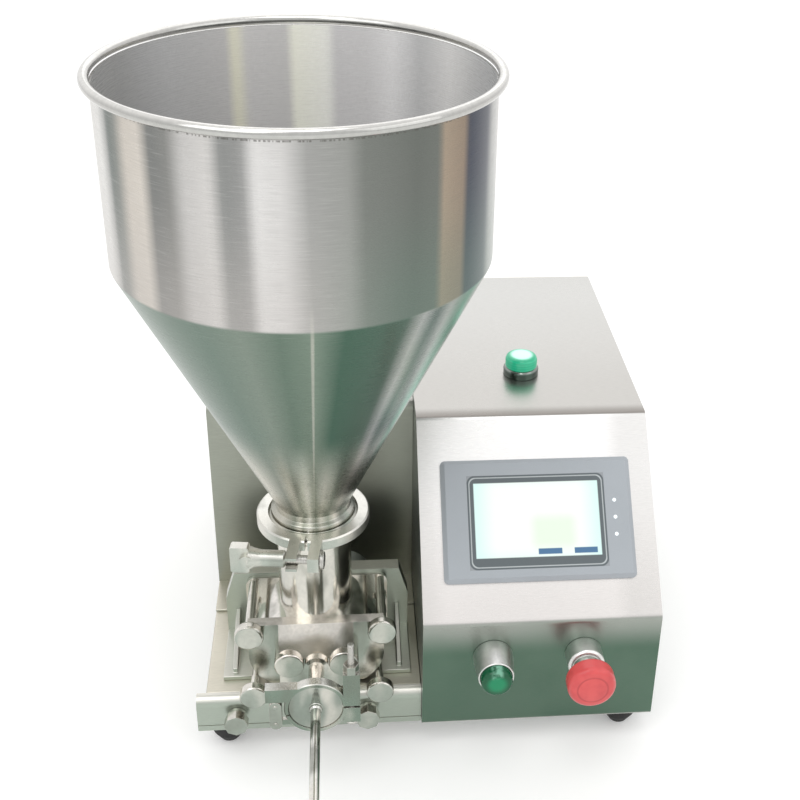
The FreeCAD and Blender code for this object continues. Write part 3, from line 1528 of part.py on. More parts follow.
def gear_outline():
    """Involute teeth as points, with the first tooth on the first axis."""
    teeth = GEAR_TEETH
    module = s.shaft_half_apart.number * 2 / teeth
    pitch = module * teeth / 2
    pressure = math.radians(PRESSURE_DEGREES)
    base = pitch * math.cos(pressure)
    tip = pitch + module
    low = pitch - module * GEAR_ROOT_SHARE
    half = math.pi / (2 * teeth) - s.gear_backlash.number / (4 * pitch)

    def unrolled(radius):
        angle = math.acos(min(1.0, base / radius))
        return math.tan(angle) - angle

    flank = [max(base, low) + (tip - max(base, low)) * step / 4 for step in range(5)]
    points = []
    for tooth in range(teeth):
        middle = 2 * math.pi * tooth / teeth
        wide = [half + unrolled(pitch) - unrolled(radius) for radius in flank]
        points.append((low, middle - wide[0]))
        points += [(radius, middle - w) for radius, w in zip(flank, wide)]
        points += [(radius, middle + w) for radius, w in reversed(list(zip(flank, wide)))]
        points.append((low, middle + wide[0]))
    return [(radius * math.cos(a), radius * math.sin(a)) for radius, a in points]


def build_gears():
    outline = [FreeCAD.Vector(x, 0, z) for x, z in gear_outline()]
    for name, x in (("drive_timing_gear", DRIVE_X), ("driven_timing_gear", DRIVEN_X)):
        wire = Part.makePolygon(outline + outline[:1])
        teeth = doc.addObject("Part::Feature", name + "_teeth")
        teeth.Shape = Part.Face(wire).extrude(FreeCAD.Vector(0, s.gear_wide.number, 0))
        place(teeth, x, GEAR_FRONT, s.pump_z)
        bore = rod(name + "_bore", "y", s.shaft_radius, GEAR_FRONT - s.overrun,
                   GEAR_FRONT + s.gear_wide + s.overrun, x, s.pump_z)
        finished(cut(name, teeth, [bore]), name)


def build_pump_stand():
    body = new_body("pump_frame")
    sketch = new_sketch(body, "XZ_Plane", CASING_REAR)
    wide, top = s.stand_half_wide, s.frame_top_z
    draw_outline(sketch, [
        (-wide, FRAME_LOW), (wide, FRAME_LOW), (wide, s.frame_shoulder_z), (s.frame_top_half, top),
        (-s.frame_top_half, top), (-wide, s.frame_shoulder_z),
    ])
    pad(body, sketch, s.frame_thick)
    for x in (DRIVE_X, DRIVEN_X):
        seat = new_sketch(body, "XZ_Plane", CASING_REAR)
        draw_circle(seat, x, s.pump_z, s.bearing_radius)
        pocket(body, seat, s.frame_thick)
    for side in (-1, 1):
        holes = new_sketch(body, "XZ_Plane", CASING_REAR)
        draw_circle(holes, s.stud_half_apart * side, s.pump_z + s.stud_rise, s.stud_radius)
        draw_circle(holes, s.low_stud_apart * side, s.pump_z - s.low_knob_drop, s.low_stem_radius)
        pocket(body, holes, s.stud_grip)
    finished(body, "pump_frame")

    foot = new_body("pump_foot_plate")
    sketch = new_sketch(foot, "XY_Plane", s.base_top_z)
    front = -s.stand_foot_front
    inner = s.shaft_half_apart + s.casing_radius + s.foot_slot_gap
    draw_outline(sketch, [
        (-wide, front), (-inner, front), (-inner, CASING_REAR), (inner, CASING_REAR), (inner, front),
        (wide, front), (wide, FRAME_REAR), (-wide, FRAME_REAR),
    ])
    pad(foot, sketch, s.stand_foot_thick)
    pieces = [foot]
    for side, name in ((-1, "left"), (1, "right")):
        brace = new_body("frame_brace_" + name)
        x0 = s.leg_foot_half - s.leg_wide / 2 if side > 0 else -s.leg_foot_half - s.leg_wide / 2
        outline = new_sketch(brace, "YZ_Plane", x0)
        draw_outline(outline, [
            (-s.leg_front, FRAME_LOW), (-s.leg_front, FRAME_LOW + s.leg_thick), (CASING_REAR, s.brace_top_z),
            (CASING_REAR, FRAME_LOW),
        ])
        pad(brace, outline, s.leg_wide)
        pieces.append(brace)
    finished(fuse("pump_stand", pieces), "pump_stand")


def build_drive():
    body = new_body("gear_case")
    sketch = new_sketch(body, "XZ_Plane", FRAME_REAR)
    draw_stadium(sketch, s.shaft_half_apart, s.pump_z, s.gear_case_radius)
    pad(body, sketch, s.gear_case_deep)
    room = new_sketch(body, "XZ_Plane", FRAME_REAR)
    draw_stadium(room, s.shaft_half_apart, s.pump_z, s.gear_case_radius - s.gear_case_wall)
    pocket(body, room, s.gear_case_deep - s.gear_case_wall)
    hole = new_sketch(body, "XZ_Plane", FRAME_REAR)
    draw_circle(hole, DRIVE_X, s.pump_z, s.shaft_radius + s.gap)
    pocket(body, hole, s.gear_case_deep)
    at = (DRIVE_X, ZERO, s.pump_z)
    tube_end = s.housing_front + s.overrun
    tube = turned("shaft_tube", [
        (s.shaft_radius + s.gap, CASE_REAR),
        (s.shaft_tube_radius, CASE_REAR),
        (s.shaft_tube_radius, tube_end),
        (s.shaft_radius + s.gap, tube_end),
    ], "y", at)
    finished(fuse("gear_case", [body, tube]), "gear_case")
    start = s.drive_shaft_end - s.coupling_long / 2
    finished(turned("shaft_coupling", [
        (s.shaft_radius, start),
        (s.coupling_radius, start),
        (s.coupling_radius, start + s.coupling_long / 3),
        (s.coupling_radius - s.gap * 4, start + s.coupling_long / 3),
        (s.coupling_radius - s.gap * 4, start + s.coupling_long * 2 / 3),
        (s.coupling_radius, start + s.coupling_long * 2 / 3),
        (s.coupling_radius, start + s.coupling_long),
        (s.shaft_radius, start + s.coupling_long),
        (s.shaft_radius, start + s.coupling_long + s.motor_shaft_reach),
        (ZERO, start + s.coupling_long + s.motor_shaft_reach),
        (ZERO, s.drive_shaft_end),
        (s.shaft_radius, s.drive_shaft_end),
    ], "y", at), "shaft_coupling")
    plate_y = start + s.coupling_long + s.coupling_clear
    plate_end = plate_y + s.motor_plate_thick
    half = s.gearhead_half
    head_low = s.pump_z - half
    plate = box("motor_plate", DRIVE_X - half, DRIVE_X + half, plate_y, plate_end, DECK_TOP, s.pump_z + half)
    foot = box("motor_foot", DRIVE_X - half, DRIVE_X + half, plate_end, plate_end + s.gearhead_long,
               DECK_TOP, head_low)
    hole = rod("motor_plate_hole", "y", s.shaft_radius + s.gap * 3, plate_y - s.overrun,
               plate_y + s.motor_shaft_reach + s.gap, DRIVE_X, s.pump_z)
    head_end = plate_end + s.gearhead_long
    gearhead = box("gearhead", DRIVE_X - half, DRIVE_X + half, plate_end, head_end, head_low, s.pump_z + half)
    motor = turned("motor_can", [
        (ZERO, head_end),
        (s.motor_radius, head_end),
        (s.motor_radius, head_end + s.motor_long - s.overrun),
        (s.motor_radius - s.overrun, head_end + s.motor_long),
        (ZERO, head_end + s.motor_long),
    ], "y", at)
    whole = fuse("gear_motor", [plate, foot, gearhead, motor])
    finished(cut("drive_motor", whole, [hole]), "drive_motor")


# Outlet, its clamp and the nozzle

def outlet_spout():
    """The short tube welded to the cover, ending in a clamp flange."""
    back = -s.outlet_joint_out + s.gasket_thick / 2
    wide, edge = s.outlet_ferrule_radius, s.ferrule_edge
    return turned("outlet_tube", [
        (s.outlet_bore, -BLOCK_OUT),
        (s.outlet_collar_radius, -BLOCK_OUT),
        (s.outlet_collar_radius, -BLOCK_OUT - s.outlet_collar_long),
        (s.outlet_radius, -BLOCK_OUT - s.outlet_collar_long - s.gap * 4),
        (s.outlet_radius, back + s.outlet_flare_long),
        (s.outlet_flare_radius, back + s.outlet_back_rise * 2),
        (s.outlet_inner_face, back + s.outlet_back_rise),
        (wide, back + edge),
        (wide, back),
        (s.outlet_bore, back),
    ], "y", (ZERO, ZERO, s.pump_z))


def build_outlet():
    at = (ZERO, ZERO, s.pump_z)
    joint = -s.outlet_joint_out
    back = joint + s.gasket_thick / 2
    front = joint - s.gasket_thick / 2
    wide, edge = s.outlet_ferrule_radius, s.ferrule_edge
    finished(turned("outlet_gasket", [
        (s.outlet_bore, front),
        (wide - edge, front),
        (wide - edge, back),
        (s.outlet_bore, back),
    ], "y", at), "outlet_gasket")
    tip = front - s.outlet_back_rise - s.nozzle_long
    face = front - s.outlet_back_rise
    finished(turned("nozzle", [
        (s.nozzle_bore, front),
        (wide, front),
        (wide, front - edge),
        (s.outlet_inner_face, face),
        (s.nozzle_root_radius, face),
        (s.nozzle_root_radius, face - s.nozzle_root_long),
        (s.nozzle_radius, face - s.nozzle_root_long - s.gap * 4),
        (s.nozzle_radius, tip),
        (s.nozzle_bore, tip),
    ], "y", at), "nozzle")


def about_outlet(thing, degrees):
    """Turns a ring piece about the outlet's axis so its middle points up at the given angle."""
    thing.Placement.Rotation = FreeCAD.Rotation(FreeCAD.Vector(0, 1, 0), -degrees)
    return thing


def build_outlet_clamp():
    slope = (s.outlet_back_rise - s.ferrule_edge) / (s.outlet_ferrule_radius - s.outlet_inner_face)
    stack = s.gasket_thick / 2 + s.ferrule_edge
    section = clamp_section(s.outlet_clamp_radius, s.outlet_clamp_half_high, s.outlet_ferrule_radius, slope,
                            s.outlet_lip, s.outlet_clamp_chamfer, stack)
    joint, z = -s.outlet_joint_out, s.pump_z
    front, back = joint - s.outlet_clamp_half_high, joint + s.outlet_clamp_half_high
    tongue = s.outlet_clamp_half_high - s.link_thick - s.gap
    reach = -s.outlet_ferrule_radius / 2
    link_top = z - s.link_drop + s.link_pin_apart + s.link_wide / 2
    for name, arc, middle, side in (("upper", UPPER_ARC_DEGREES, UPPER_MIDDLE_DEGREES, 1),
                                    ("lower", LOWER_ARC_DEGREES, LOWER_MIDDLE_DEGREES, -1)):
        label = "outlet_clamp_" + name
        ring = new_body(label)
        revolve(ring, section, "y", arc)
        place(ring, ZERO, joint, z)
        about_outlet(ring, middle)
        low = z + s.clamp_split / 2 if side > 0 else z - s.clamp_split / 2 - s.outlet_lug_down
        high = z + s.clamp_split / 2 + s.outlet_lug_up if side > 0 else z - s.clamp_split / 2
        lug = box(label + "_lug", s.outlet_lug_in, s.outlet_lug_out, front, back, low, high)
        pin_z = z - s.link_drop + s.link_pin_apart * side
        ear = rod(label + "_ear", "y", s.link_wide / 2, joint - tongue, joint + tongue, -s.link_x, pin_z)
        if side > 0:
            arm_low = link_top + s.gap
            neck = box(label + "_ear_neck", -s.link_x - s.link_wide / 4, -s.link_x + s.link_wide / 4,
                       joint - tongue, joint + tongue, pin_z, arm_low)
            arm = box(label + "_arm", -s.outlet_arm_out, reach, front, back, arm_low, arm_low + s.outlet_arm_high)
            pieces = [lug, ear, neck, arm]
        else:
            neck = box(label + "_ear_neck", -s.link_x, reach, joint - tongue, joint + tongue,
                       pin_z - s.link_wide / 4, pin_z + s.link_wide / 4)
            pieces = [lug, ear, neck]
        room = rod(label + "_room", "y", s.outlet_ferrule_radius + s.gap, front - s.overrun, back + s.overrun,
                   ZERO, z)
        bolt_hole = rod(label + "_bolt_hole", "z", s.outlet_bolt_radius + s.gap, low - s.overrun,
                        high + s.overrun, s.outlet_bolt_x, joint)
        pin_hole = rod(label + "_pin_hole", "y", s.link_pin_radius, joint - s.overrun * 2, joint + s.overrun * 2,
                       -s.link_x, pin_z)
        outside = cut(label + "_outside", fuse(label + "_ends", pieces), [room])
        finished(cut(label, fuse(label + "_whole", [ring, outside]), [bolt_hole, pin_hole]), label)
    plates = []
    for side in (-1, 1):
        plate = new_body("outlet_link")
        sketch = new_sketch(plate, "XZ_Plane", ZERO)
        draw_stadium_upright(sketch, s.link_pin_apart, s.link_wide / 2)
        pad(plate, sketch, s.link_thick)
        y = joint - s.outlet_clamp_half_high if side < 0 else joint + s.outlet_clamp_half_high - s.link_thick
        place(plate, -s.link_x, y, s.pump_z - s.link_drop)
        plates.append(plate)
    pins = [rod("link_pin", "y", s.link_pin_radius, joint - s.outlet_clamp_half_high - s.gap * 3,
                joint + s.outlet_clamp_half_high + s.gap * 3, -s.link_x,
                s.pump_z - s.link_drop + s.link_pin_apart * side) for side in (-1, 1)]
    finished(fuse("outlet_clamp_link", plates + pins), "outlet_clamp_link")
    lug_top = s.pump_z + s.clamp_split / 2 + s.outlet_lug_up
    lug_low = s.pump_z - s.clamp_split / 2 - s.outlet_lug_down
    shank = rod("outlet_bolt_shank", "z", s.outlet_bolt_radius, lug_low, lug_top + s.outlet_bolt_end,
                s.outlet_bolt_x, joint)
    head = rod("outlet_bolt_head", "z", s.outlet_bolt_radius * 2, lug_low - s.outlet_bolt_radius, lug_low,
               s.outlet_bolt_x, joint)
    finished(fuse("outlet_clamp_bolt", [shank, head]), "outlet_clamp_bolt")
    nut = doc.addObject("Part::Prism", "outlet_nut_step")
    nut.Polygon = 6
    bind(nut, "Circumradius", s.outlet_nut_radius)
    bind(nut, "Height", s.outlet_nut_high)
    place(nut, s.outlet_bolt_x, joint, lug_top + s.gap)
    hole = rod("outlet_nut_hole", "z", s.outlet_bolt_radius + s.run_gap, lug_top - s.overrun,
               lug_top + s.outlet_nut_high + s.overrun, s.outlet_bolt_x, joint)
    finished(cut("outlet_clamp_nut", nut, [hole]), "outlet_clamp_nut")


def build_hand_screws():
    face = -s.bar_front - s.gap
    for side, name in ((-1, "left"), (1, "right")):
        x = s.hand_screw_off * side + s.hand_screw_centre
        label = "hand_screw_" + name
        stem = rod(label + "_stem", "y", s.hand_screw_stem, face, BASE_FRONT + -s.gap, x, s.hand_screw_z)
        collar = rod(label + "_collar", "y", s.hand_screw_collar, face - s.overrun, face, x, s.hand_screw_z)
        head = doc.addObject("Part::Prism", label + "_head_step")
        head.Polygon = 8
        bind(head, "Circumradius", s.hand_screw_radius)
        bind(head, "Height", s.hand_screw_thick)
        head.Placement = FreeCAD.Placement(FreeCAD.Vector(0, 0, 0), AXIS_TURN["y"])
        place(head, x, face - s.overrun - s.hand_screw_thick, s.hand_screw_z)
        finished(fuse(label, [stem, collar, head]), label)


def build_all():
    build_feet()
    build_base_plate()
    build_front_bar()
    build_deck()
    build_motor_housing()
    build_cabinet()
    build_back_panel()
    build_screen()
    build_start_button()
    build_stop_button()
    build_contact_blocks()
    build_pilot_lamp()
    build_power_inlet()
    build_inside_cabinet()
    build_hopper()
    build_hopper_clamp()
    build_pump_body()
    build_cover()
    build_studs_and_knobs()
    build_rotors()
    build_shafts()
    build_gears()
    build_pump_stand()
    build_drive()
    build_outlet()
    build_outlet_clamp()
    build_hand_screws()


def check_document():
    for thing in doc.Objects:
        if "Invalid" in thing.State or "Error" in thing.State:
            raise RuntimeError("%s has not been made" % thing.Name)
    for thing in nodes:
        if thing.Shape.isNull() or not thing.Shape.isValid() or not thing.Shape.Solids:
            raise RuntimeError("%s has no sound solid" % thing.Label)


def export_all():
    os.makedirs("parts", exist_ok=True)
    for name in os.listdir("parts"):
        if name.endswith(".step"):
            os.remove(os.path.join("parts", name))
    for thing in nodes:
        thing.Shape.exportStep("parts/%s.step" % thing.Label)


build_all()
doc.recompute()
check_document()
export_all()
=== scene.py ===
import json
import math
import bmesh
import bpy
import numpy as np
from bpy.props import FloatProperty, FloatVectorProperty, IntProperty, PointerProperty
from mathutils import Matrix, Vector

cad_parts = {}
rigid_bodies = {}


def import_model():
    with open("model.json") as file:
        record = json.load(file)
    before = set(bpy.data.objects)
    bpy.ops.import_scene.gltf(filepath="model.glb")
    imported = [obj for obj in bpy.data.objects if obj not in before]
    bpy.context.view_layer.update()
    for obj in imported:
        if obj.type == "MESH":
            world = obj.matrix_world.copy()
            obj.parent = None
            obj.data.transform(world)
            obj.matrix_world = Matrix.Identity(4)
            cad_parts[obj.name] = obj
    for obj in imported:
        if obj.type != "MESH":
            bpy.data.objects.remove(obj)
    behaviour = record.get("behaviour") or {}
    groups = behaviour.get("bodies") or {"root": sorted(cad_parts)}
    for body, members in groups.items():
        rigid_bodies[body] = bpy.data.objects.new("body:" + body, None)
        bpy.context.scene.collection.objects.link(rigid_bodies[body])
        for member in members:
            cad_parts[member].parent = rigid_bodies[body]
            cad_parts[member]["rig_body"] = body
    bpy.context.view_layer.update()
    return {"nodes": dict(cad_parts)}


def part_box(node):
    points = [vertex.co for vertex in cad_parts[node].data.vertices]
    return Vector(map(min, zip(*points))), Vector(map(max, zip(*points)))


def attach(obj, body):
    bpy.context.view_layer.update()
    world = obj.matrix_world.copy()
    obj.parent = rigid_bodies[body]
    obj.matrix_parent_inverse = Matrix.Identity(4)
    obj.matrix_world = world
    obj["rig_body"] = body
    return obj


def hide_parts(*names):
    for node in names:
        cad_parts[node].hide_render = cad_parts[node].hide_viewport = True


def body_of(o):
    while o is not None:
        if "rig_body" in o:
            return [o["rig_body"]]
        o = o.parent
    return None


bl_info = {
    "name": "Filler machine pieces",
    "version": (1, 0, 0),
    "blender": (4, 5, 0),
    "location": "View3D > Sidebar > Filler",
    "description": "Pieces, finishes and studio of a tabletop filler machine",
    "category": "Add Mesh",
}

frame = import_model()
ROOT = "machine"

# Places on the machine, in metres

START_BUTTON = (0.1465, 0.098)  # x and z of its middle
STOP_BUTTON = (0.223, 0.098)  # x and z of its middle
PILOT_LAMP = (0.188, 0.139)  # x and y of its middle
SLOPE_ANGLE = math.atan2(126.0, 122.0)  # rise over run of the sloping front
SLOPE_FOOT = (0.088, -0.058, 0.132)  # its lower left end
SHOULDER_Z = 0.445  # where the hopper's cone meets its bowl
WELD_MARKS_Z = 0.5728  # the row of marks under the hopper's rim
THREAD_PITCH = 0.00125

# Limits used while surfaces are made

MERGE_DISTANCE = 1e-6
FLAT_ANGLE = math.radians(0.5)
ARC_SHARE = 0.49  # the most that an arc takes from one side of its corner


# Surfaces

def mesh_from_grid(name, points, wrap_u=True, wrap_v=True, sharp=40.0):
    """Quads over an array of points (rows, columns, 3), joined round where asked."""
    rows, cols = points.shape[:2]
    index = np.arange(rows * cols).reshape(rows, cols)
    if wrap_u:
        index = np.vstack([index, index[:1]])
    if wrap_v:
        index = np.hstack([index, index[:, :1]])
    corners = [index[:-1, :-1], index[:-1, 1:], index[1:, 1:], index[1:, :-1]]
    quads = np.stack(corners, axis=-1).reshape(-1, 4)
    mesh = bpy.data.meshes.new(name)
    mesh.from_pydata(points.reshape(-1, 3).tolist(), [], quads.tolist())
    mesh.polygons.foreach_set("use_smooth", np.ones(len(mesh.polygons), dtype=bool))
    mesh.set_sharp_from_angle(angle=math.radians(sharp))
    mesh.update()
    return mesh


def turned_points(profile, steps):
    """A closed profile of (radius, height) carried round the upright axis:
    x = r cos a, y = r sin a, z = h, with a from 0 to a full turn."""
    profile = np.asarray(profile, dtype=float)
    angle = np.linspace(0, 2 * np.pi, steps, endpoint=False)
    r, h = profile[:, :1], profile[:, 1:]
    return np.stack([r * np.cos(angle), r * np.sin(angle), h + 0 * angle], axis=-1)


def rounded(corners, radii, steps=6):
    """The points of a closed profile with each corner replaced by an arc of its own radius."""
    corners = [np.asarray(c, dtype=float) for c in corners]
    out = []
    count = len(corners)
    for i, (p, radius) in enumerate(zip(corners, radii)):
        if radius <= 0:
            out.append(p)
            continue
        a = corners[i - 1] - p
        b = corners[(i + 1) % count] - p
        la, lb = np.linalg.norm(a), np.linalg.norm(b)
        a, b = a / la, b / lb
        half = math.acos(max(-1.0, min(1.0, float(a @ b)))) / 2
        back = min(radius / math.tan(half), la * ARC_SHARE, lb * ARC_SHARE)
        real = back * math.tan(half)
        mid = (a + b) / np.linalg.norm(a + b)
        centre = p + mid * real / math.sin(half)
        start, end = p + a * back - centre, p + b * back - centre
        turn = math.atan2(start[0] * end[1] - start[1] * end[0], float(start @ end))
        for k in range(steps + 1):
            t = turn * k / steps
            c, d = math.cos(t), math.sin(t)
            out.append(centre + np.array([start[0] * c - start[1] * d, start[0] * d + start[1] * c]))
    return np.array(out)


def add_piece(name, mesh, finish, body=ROOT, stands_for=()):
    """Links a mesh as a piece of the machine that rides on one of its bodies."""
    piece = bpy.data.objects.new(name, mesh)
    bpy.context.scene.collection.objects.link(piece)
    mesh.materials.append(finish)
    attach(piece, body)
    if stands_for:
        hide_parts(*stands_for)
    return piece


def dress(node, finish):
    """Gives a machine node its finish."""
    slots = frame["nodes"][node].data.materials
    slots.clear()
    slots.append(finish)


def softened(node, width, finish, angle=32.0, steps=2):
    """A copy of a machine node with its flat faces whole again and its corners broken by a small
    bevel, which stands for the node."""
    source = frame["nodes"][node]
    mesh = source.data.copy()
    mesh.name = node + "_soft"
    work = bmesh.new()
    work.from_mesh(mesh)
    bmesh.ops.remove_doubles(work, verts=work.verts, dist=MERGE_DISTANCE)
    bmesh.ops.dissolve_limit(work, angle_limit=FLAT_ANGLE, verts=work.verts, edges=work.edges)
    work.to_mesh(mesh)
    work.free()
    mesh.materials.clear()
    if mesh.has_custom_normals:
        mesh.attributes.remove(mesh.attributes["custom_normal"])
    mesh.polygons.foreach_set("use_smooth", np.ones(len(mesh.polygons), dtype=bool))
    piece = add_piece(node + "_soft", mesh, finish, body_of(source)[0], [node])
    bevel = piece.modifiers.new("broken_corners", "BEVEL")
    bevel.width = width
    bevel.segments = steps
    bevel.limit_method = "ANGLE"
    bevel.angle_limit = math.radians(angle)
    bevel.use_clamp_overlap = True
    bevel.harden_normals = False
    mesh.set_sharp_from_angle(angle=math.radians(angle))
    return piece


# Finishes

class Value:
    """A number socket that can be used in a sum."""

    def __init__(self, finish, socket):
        self.finish, self.socket = finish, socket

    def _maths(self, operation, *values, **extra):
        settings = {"operation": operation, **extra}
        return self.finish.node("ShaderNodeMath", settings, *values)["Value"]

    def __add__(self, other):
        return self._maths("ADD", self, other)

    __radd__ = __add__

    def __sub__(self, other):
        return self._maths("SUBTRACT", self, other)

    def __rsub__(self, other):
        return self._maths("SUBTRACT", other, self)

    def __mul__(self, other):
        return self._maths("MULTIPLY", self, other)

    def __truediv__(self, other):
        return self._maths("DIVIDE", self, other)

    def clamped(self):
        return self._maths("ADD", self, 0.0, use_clamp=True)

    def power(self, other):
        return self._maths("POWER", self, other)

    def magnitude(self):
        return self._maths("ABSOLUTE", self)

    def sine(self):
        return self._maths("SINE", self)

    def most(self, other):
        return self._maths("MAXIMUM", self, other)

    def fade(self, low, high):
        """0 at low, 1 at high, smooth between them."""
        settings = {"interpolation_type": "SMOOTHSTEP"}
        return self.finish.node("ShaderNodeMapRange", settings, self, low, high)["Result"]

    def reach(self, other):
        """How far a point is from the middle, given its places along two axes."""
        return (self * self + other * other).power(0.5)


class Finish:
    """A procedural material under construction."""

    def __init__(self, name, color, roughness, metallic=0.0, **constants):
        self.material = bpy.data.materials.new(name)
        self.material.use_nodes = True
        self.tree = self.material.node_tree
        self.shader = self.tree.nodes["Principled BSDF"]
        self.set("Base Color", (*color, 1.0))
        self.set("Roughness", roughness)
        self.set("Metallic", metallic)
        for key, value in constants.items():
            self.set(key.replace("_", " "), value)
        self.material.diffuse_color = (*color, 1.0)

    def node(self, kind, settings=None, *values, **named):
        """Adds a node: settings first, then its inputs in order or by name; returns its outputs."""
        made = self.tree.nodes.new(kind)
        for key, value in (settings or {}).items():
            if key == "stops":
                ramp = made.color_ramp
                while len(ramp.elements) < len(value):
                    ramp.elements.new(0.5)
                for element, (place, color) in zip(ramp.elements, value):
                    element.position, element.color = place, (*color, 1.0)
            else:
                setattr(made, key, value)
        sockets = [s for s in made.inputs if s.enabled]
        fed = list(zip(sockets, values))
        fed += [(made.inputs[key.replace("_", " ")], value) for key, value in named.items()]
        for socket, value in fed:
            self.feed(socket, value)
        return {s.name: Value(self, s) for s in made.outputs if s.enabled}

    def feed(self, socket, value):
        if isinstance(value, Value):
            self.tree.links.new(value.socket, socket)
        elif value is not None:
            socket.default_value = value

    def set(self, name, value):
        self.feed(self.shader.inputs[name], value)

    def place(self):
        return self.node("ShaderNodeTexCoord")["Object"]

    def axes(self):
        parts = self.node("ShaderNodeSeparateXYZ", None, self.place())
        return parts["X"], parts["Y"], parts["Z"]

    def normal(self):
        parts = self.node("ShaderNodeSeparateXYZ", None, self.node("ShaderNodeNewGeometry")["Normal"])
        return parts["X"], parts["Y"], parts["Z"]

    def point(self, x, y, z):
        return self.node("ShaderNodeCombineXYZ", None, x, y, z)["Vector"]

    def noise(self, scale, detail, stretch=(1, 1, 1), at=None):
        """Noise of a given number of cells per metre, stretched along the axes."""
        at = at or self.place()
        sized = self.node("ShaderNodeMapping", {"vector_type": "POINT"}, at, Scale=stretch)["Vector"]
        return self.node("ShaderNodeTexNoise", {"noise_dimensions": "3D"}, sized, Scale=scale,
                         Detail=detail, Roughness=0.5)["Fac"]

    def mix(self, share, first, second):
        """The first colour, passing into the second as share goes from 0 to 1."""
        made = self.tree.nodes.new("ShaderNodeMix")
        made.data_type = "RGBA"
        inputs = [s for s in made.inputs if s.enabled]
        for socket, value in zip(inputs, (share, first, second)):
            if isinstance(value, tuple) and len(value) == 3:
                value = (*value, 1.0)
            self.feed(socket, value)
        return Value(self, [s for s in made.outputs if s.enabled][0])

    def bump(self, height, strength, distance):
        made = self.node("ShaderNodeBump", None, Strength=strength, Distance=distance, Height=height)
        self.set("Normal", made["Normal"])


def steel(name, top, side, front, roughness, grain=(1, 1, 1), grain_scale=300.0, grain_depth=0.12,
          smudge=0.08, relief=0.08, tilt=0.35, reflection_patches=0.0):
    """Stainless steel: fine grain along one direction, soft smudges, and a painted reflection tone
    each for the faces that look up, sideways and to the front. Reflection patches adds broad pale and
    dark areas of painted reflection, as a polished casting shows."""
    f = Finish(name, side, roughness, 1.0)
    grain_mark = f.noise(grain_scale, 2.0, grain)
    cloud = f.noise(14.0, 3.0)
    unevenness = (grain_mark - 0.5) * grain_depth + (cloud - 0.5) * smudge
    f.set("Roughness", (roughness + unevenness).clamped())
    # Painted reflection: one tone for faces that look up, one for sideways and one for the front
    _, back, up = f.normal()
    ahead = (0.0 - back).fade(0.45, 0.95)
    shade = f.mix(up.fade(tilt, tilt * 2 + 0.25), f.mix(ahead, side, front), top)
    # Broad pale and dark patches of painted reflection
    broad = f.noise(34.0, 2.0, (1, 1, 0.45))
    shade = f.mix(broad.fade(0.50, 0.66) * reflection_patches, shade, (0.84, 0.80, 0.73))
    shade = f.mix(broad.fade(0.50, 0.36) * reflection_patches, shade, (0.17, 0.18, 0.15))
    worn = (cloud * 0.55 + grain_mark * 0.45).fade(0.32, 0.68)
    f.set("Base Color", f.mix(worn * 0.16, shade, (0.10, 0.10, 0.09)))
    f.bump(grain_mark, relief, 0.00006)
    return f.material


GREY = (0.52, 0.52, 0.50)
ACROSS = (1, 18, 18)  # stretch of a grain that runs from left to right
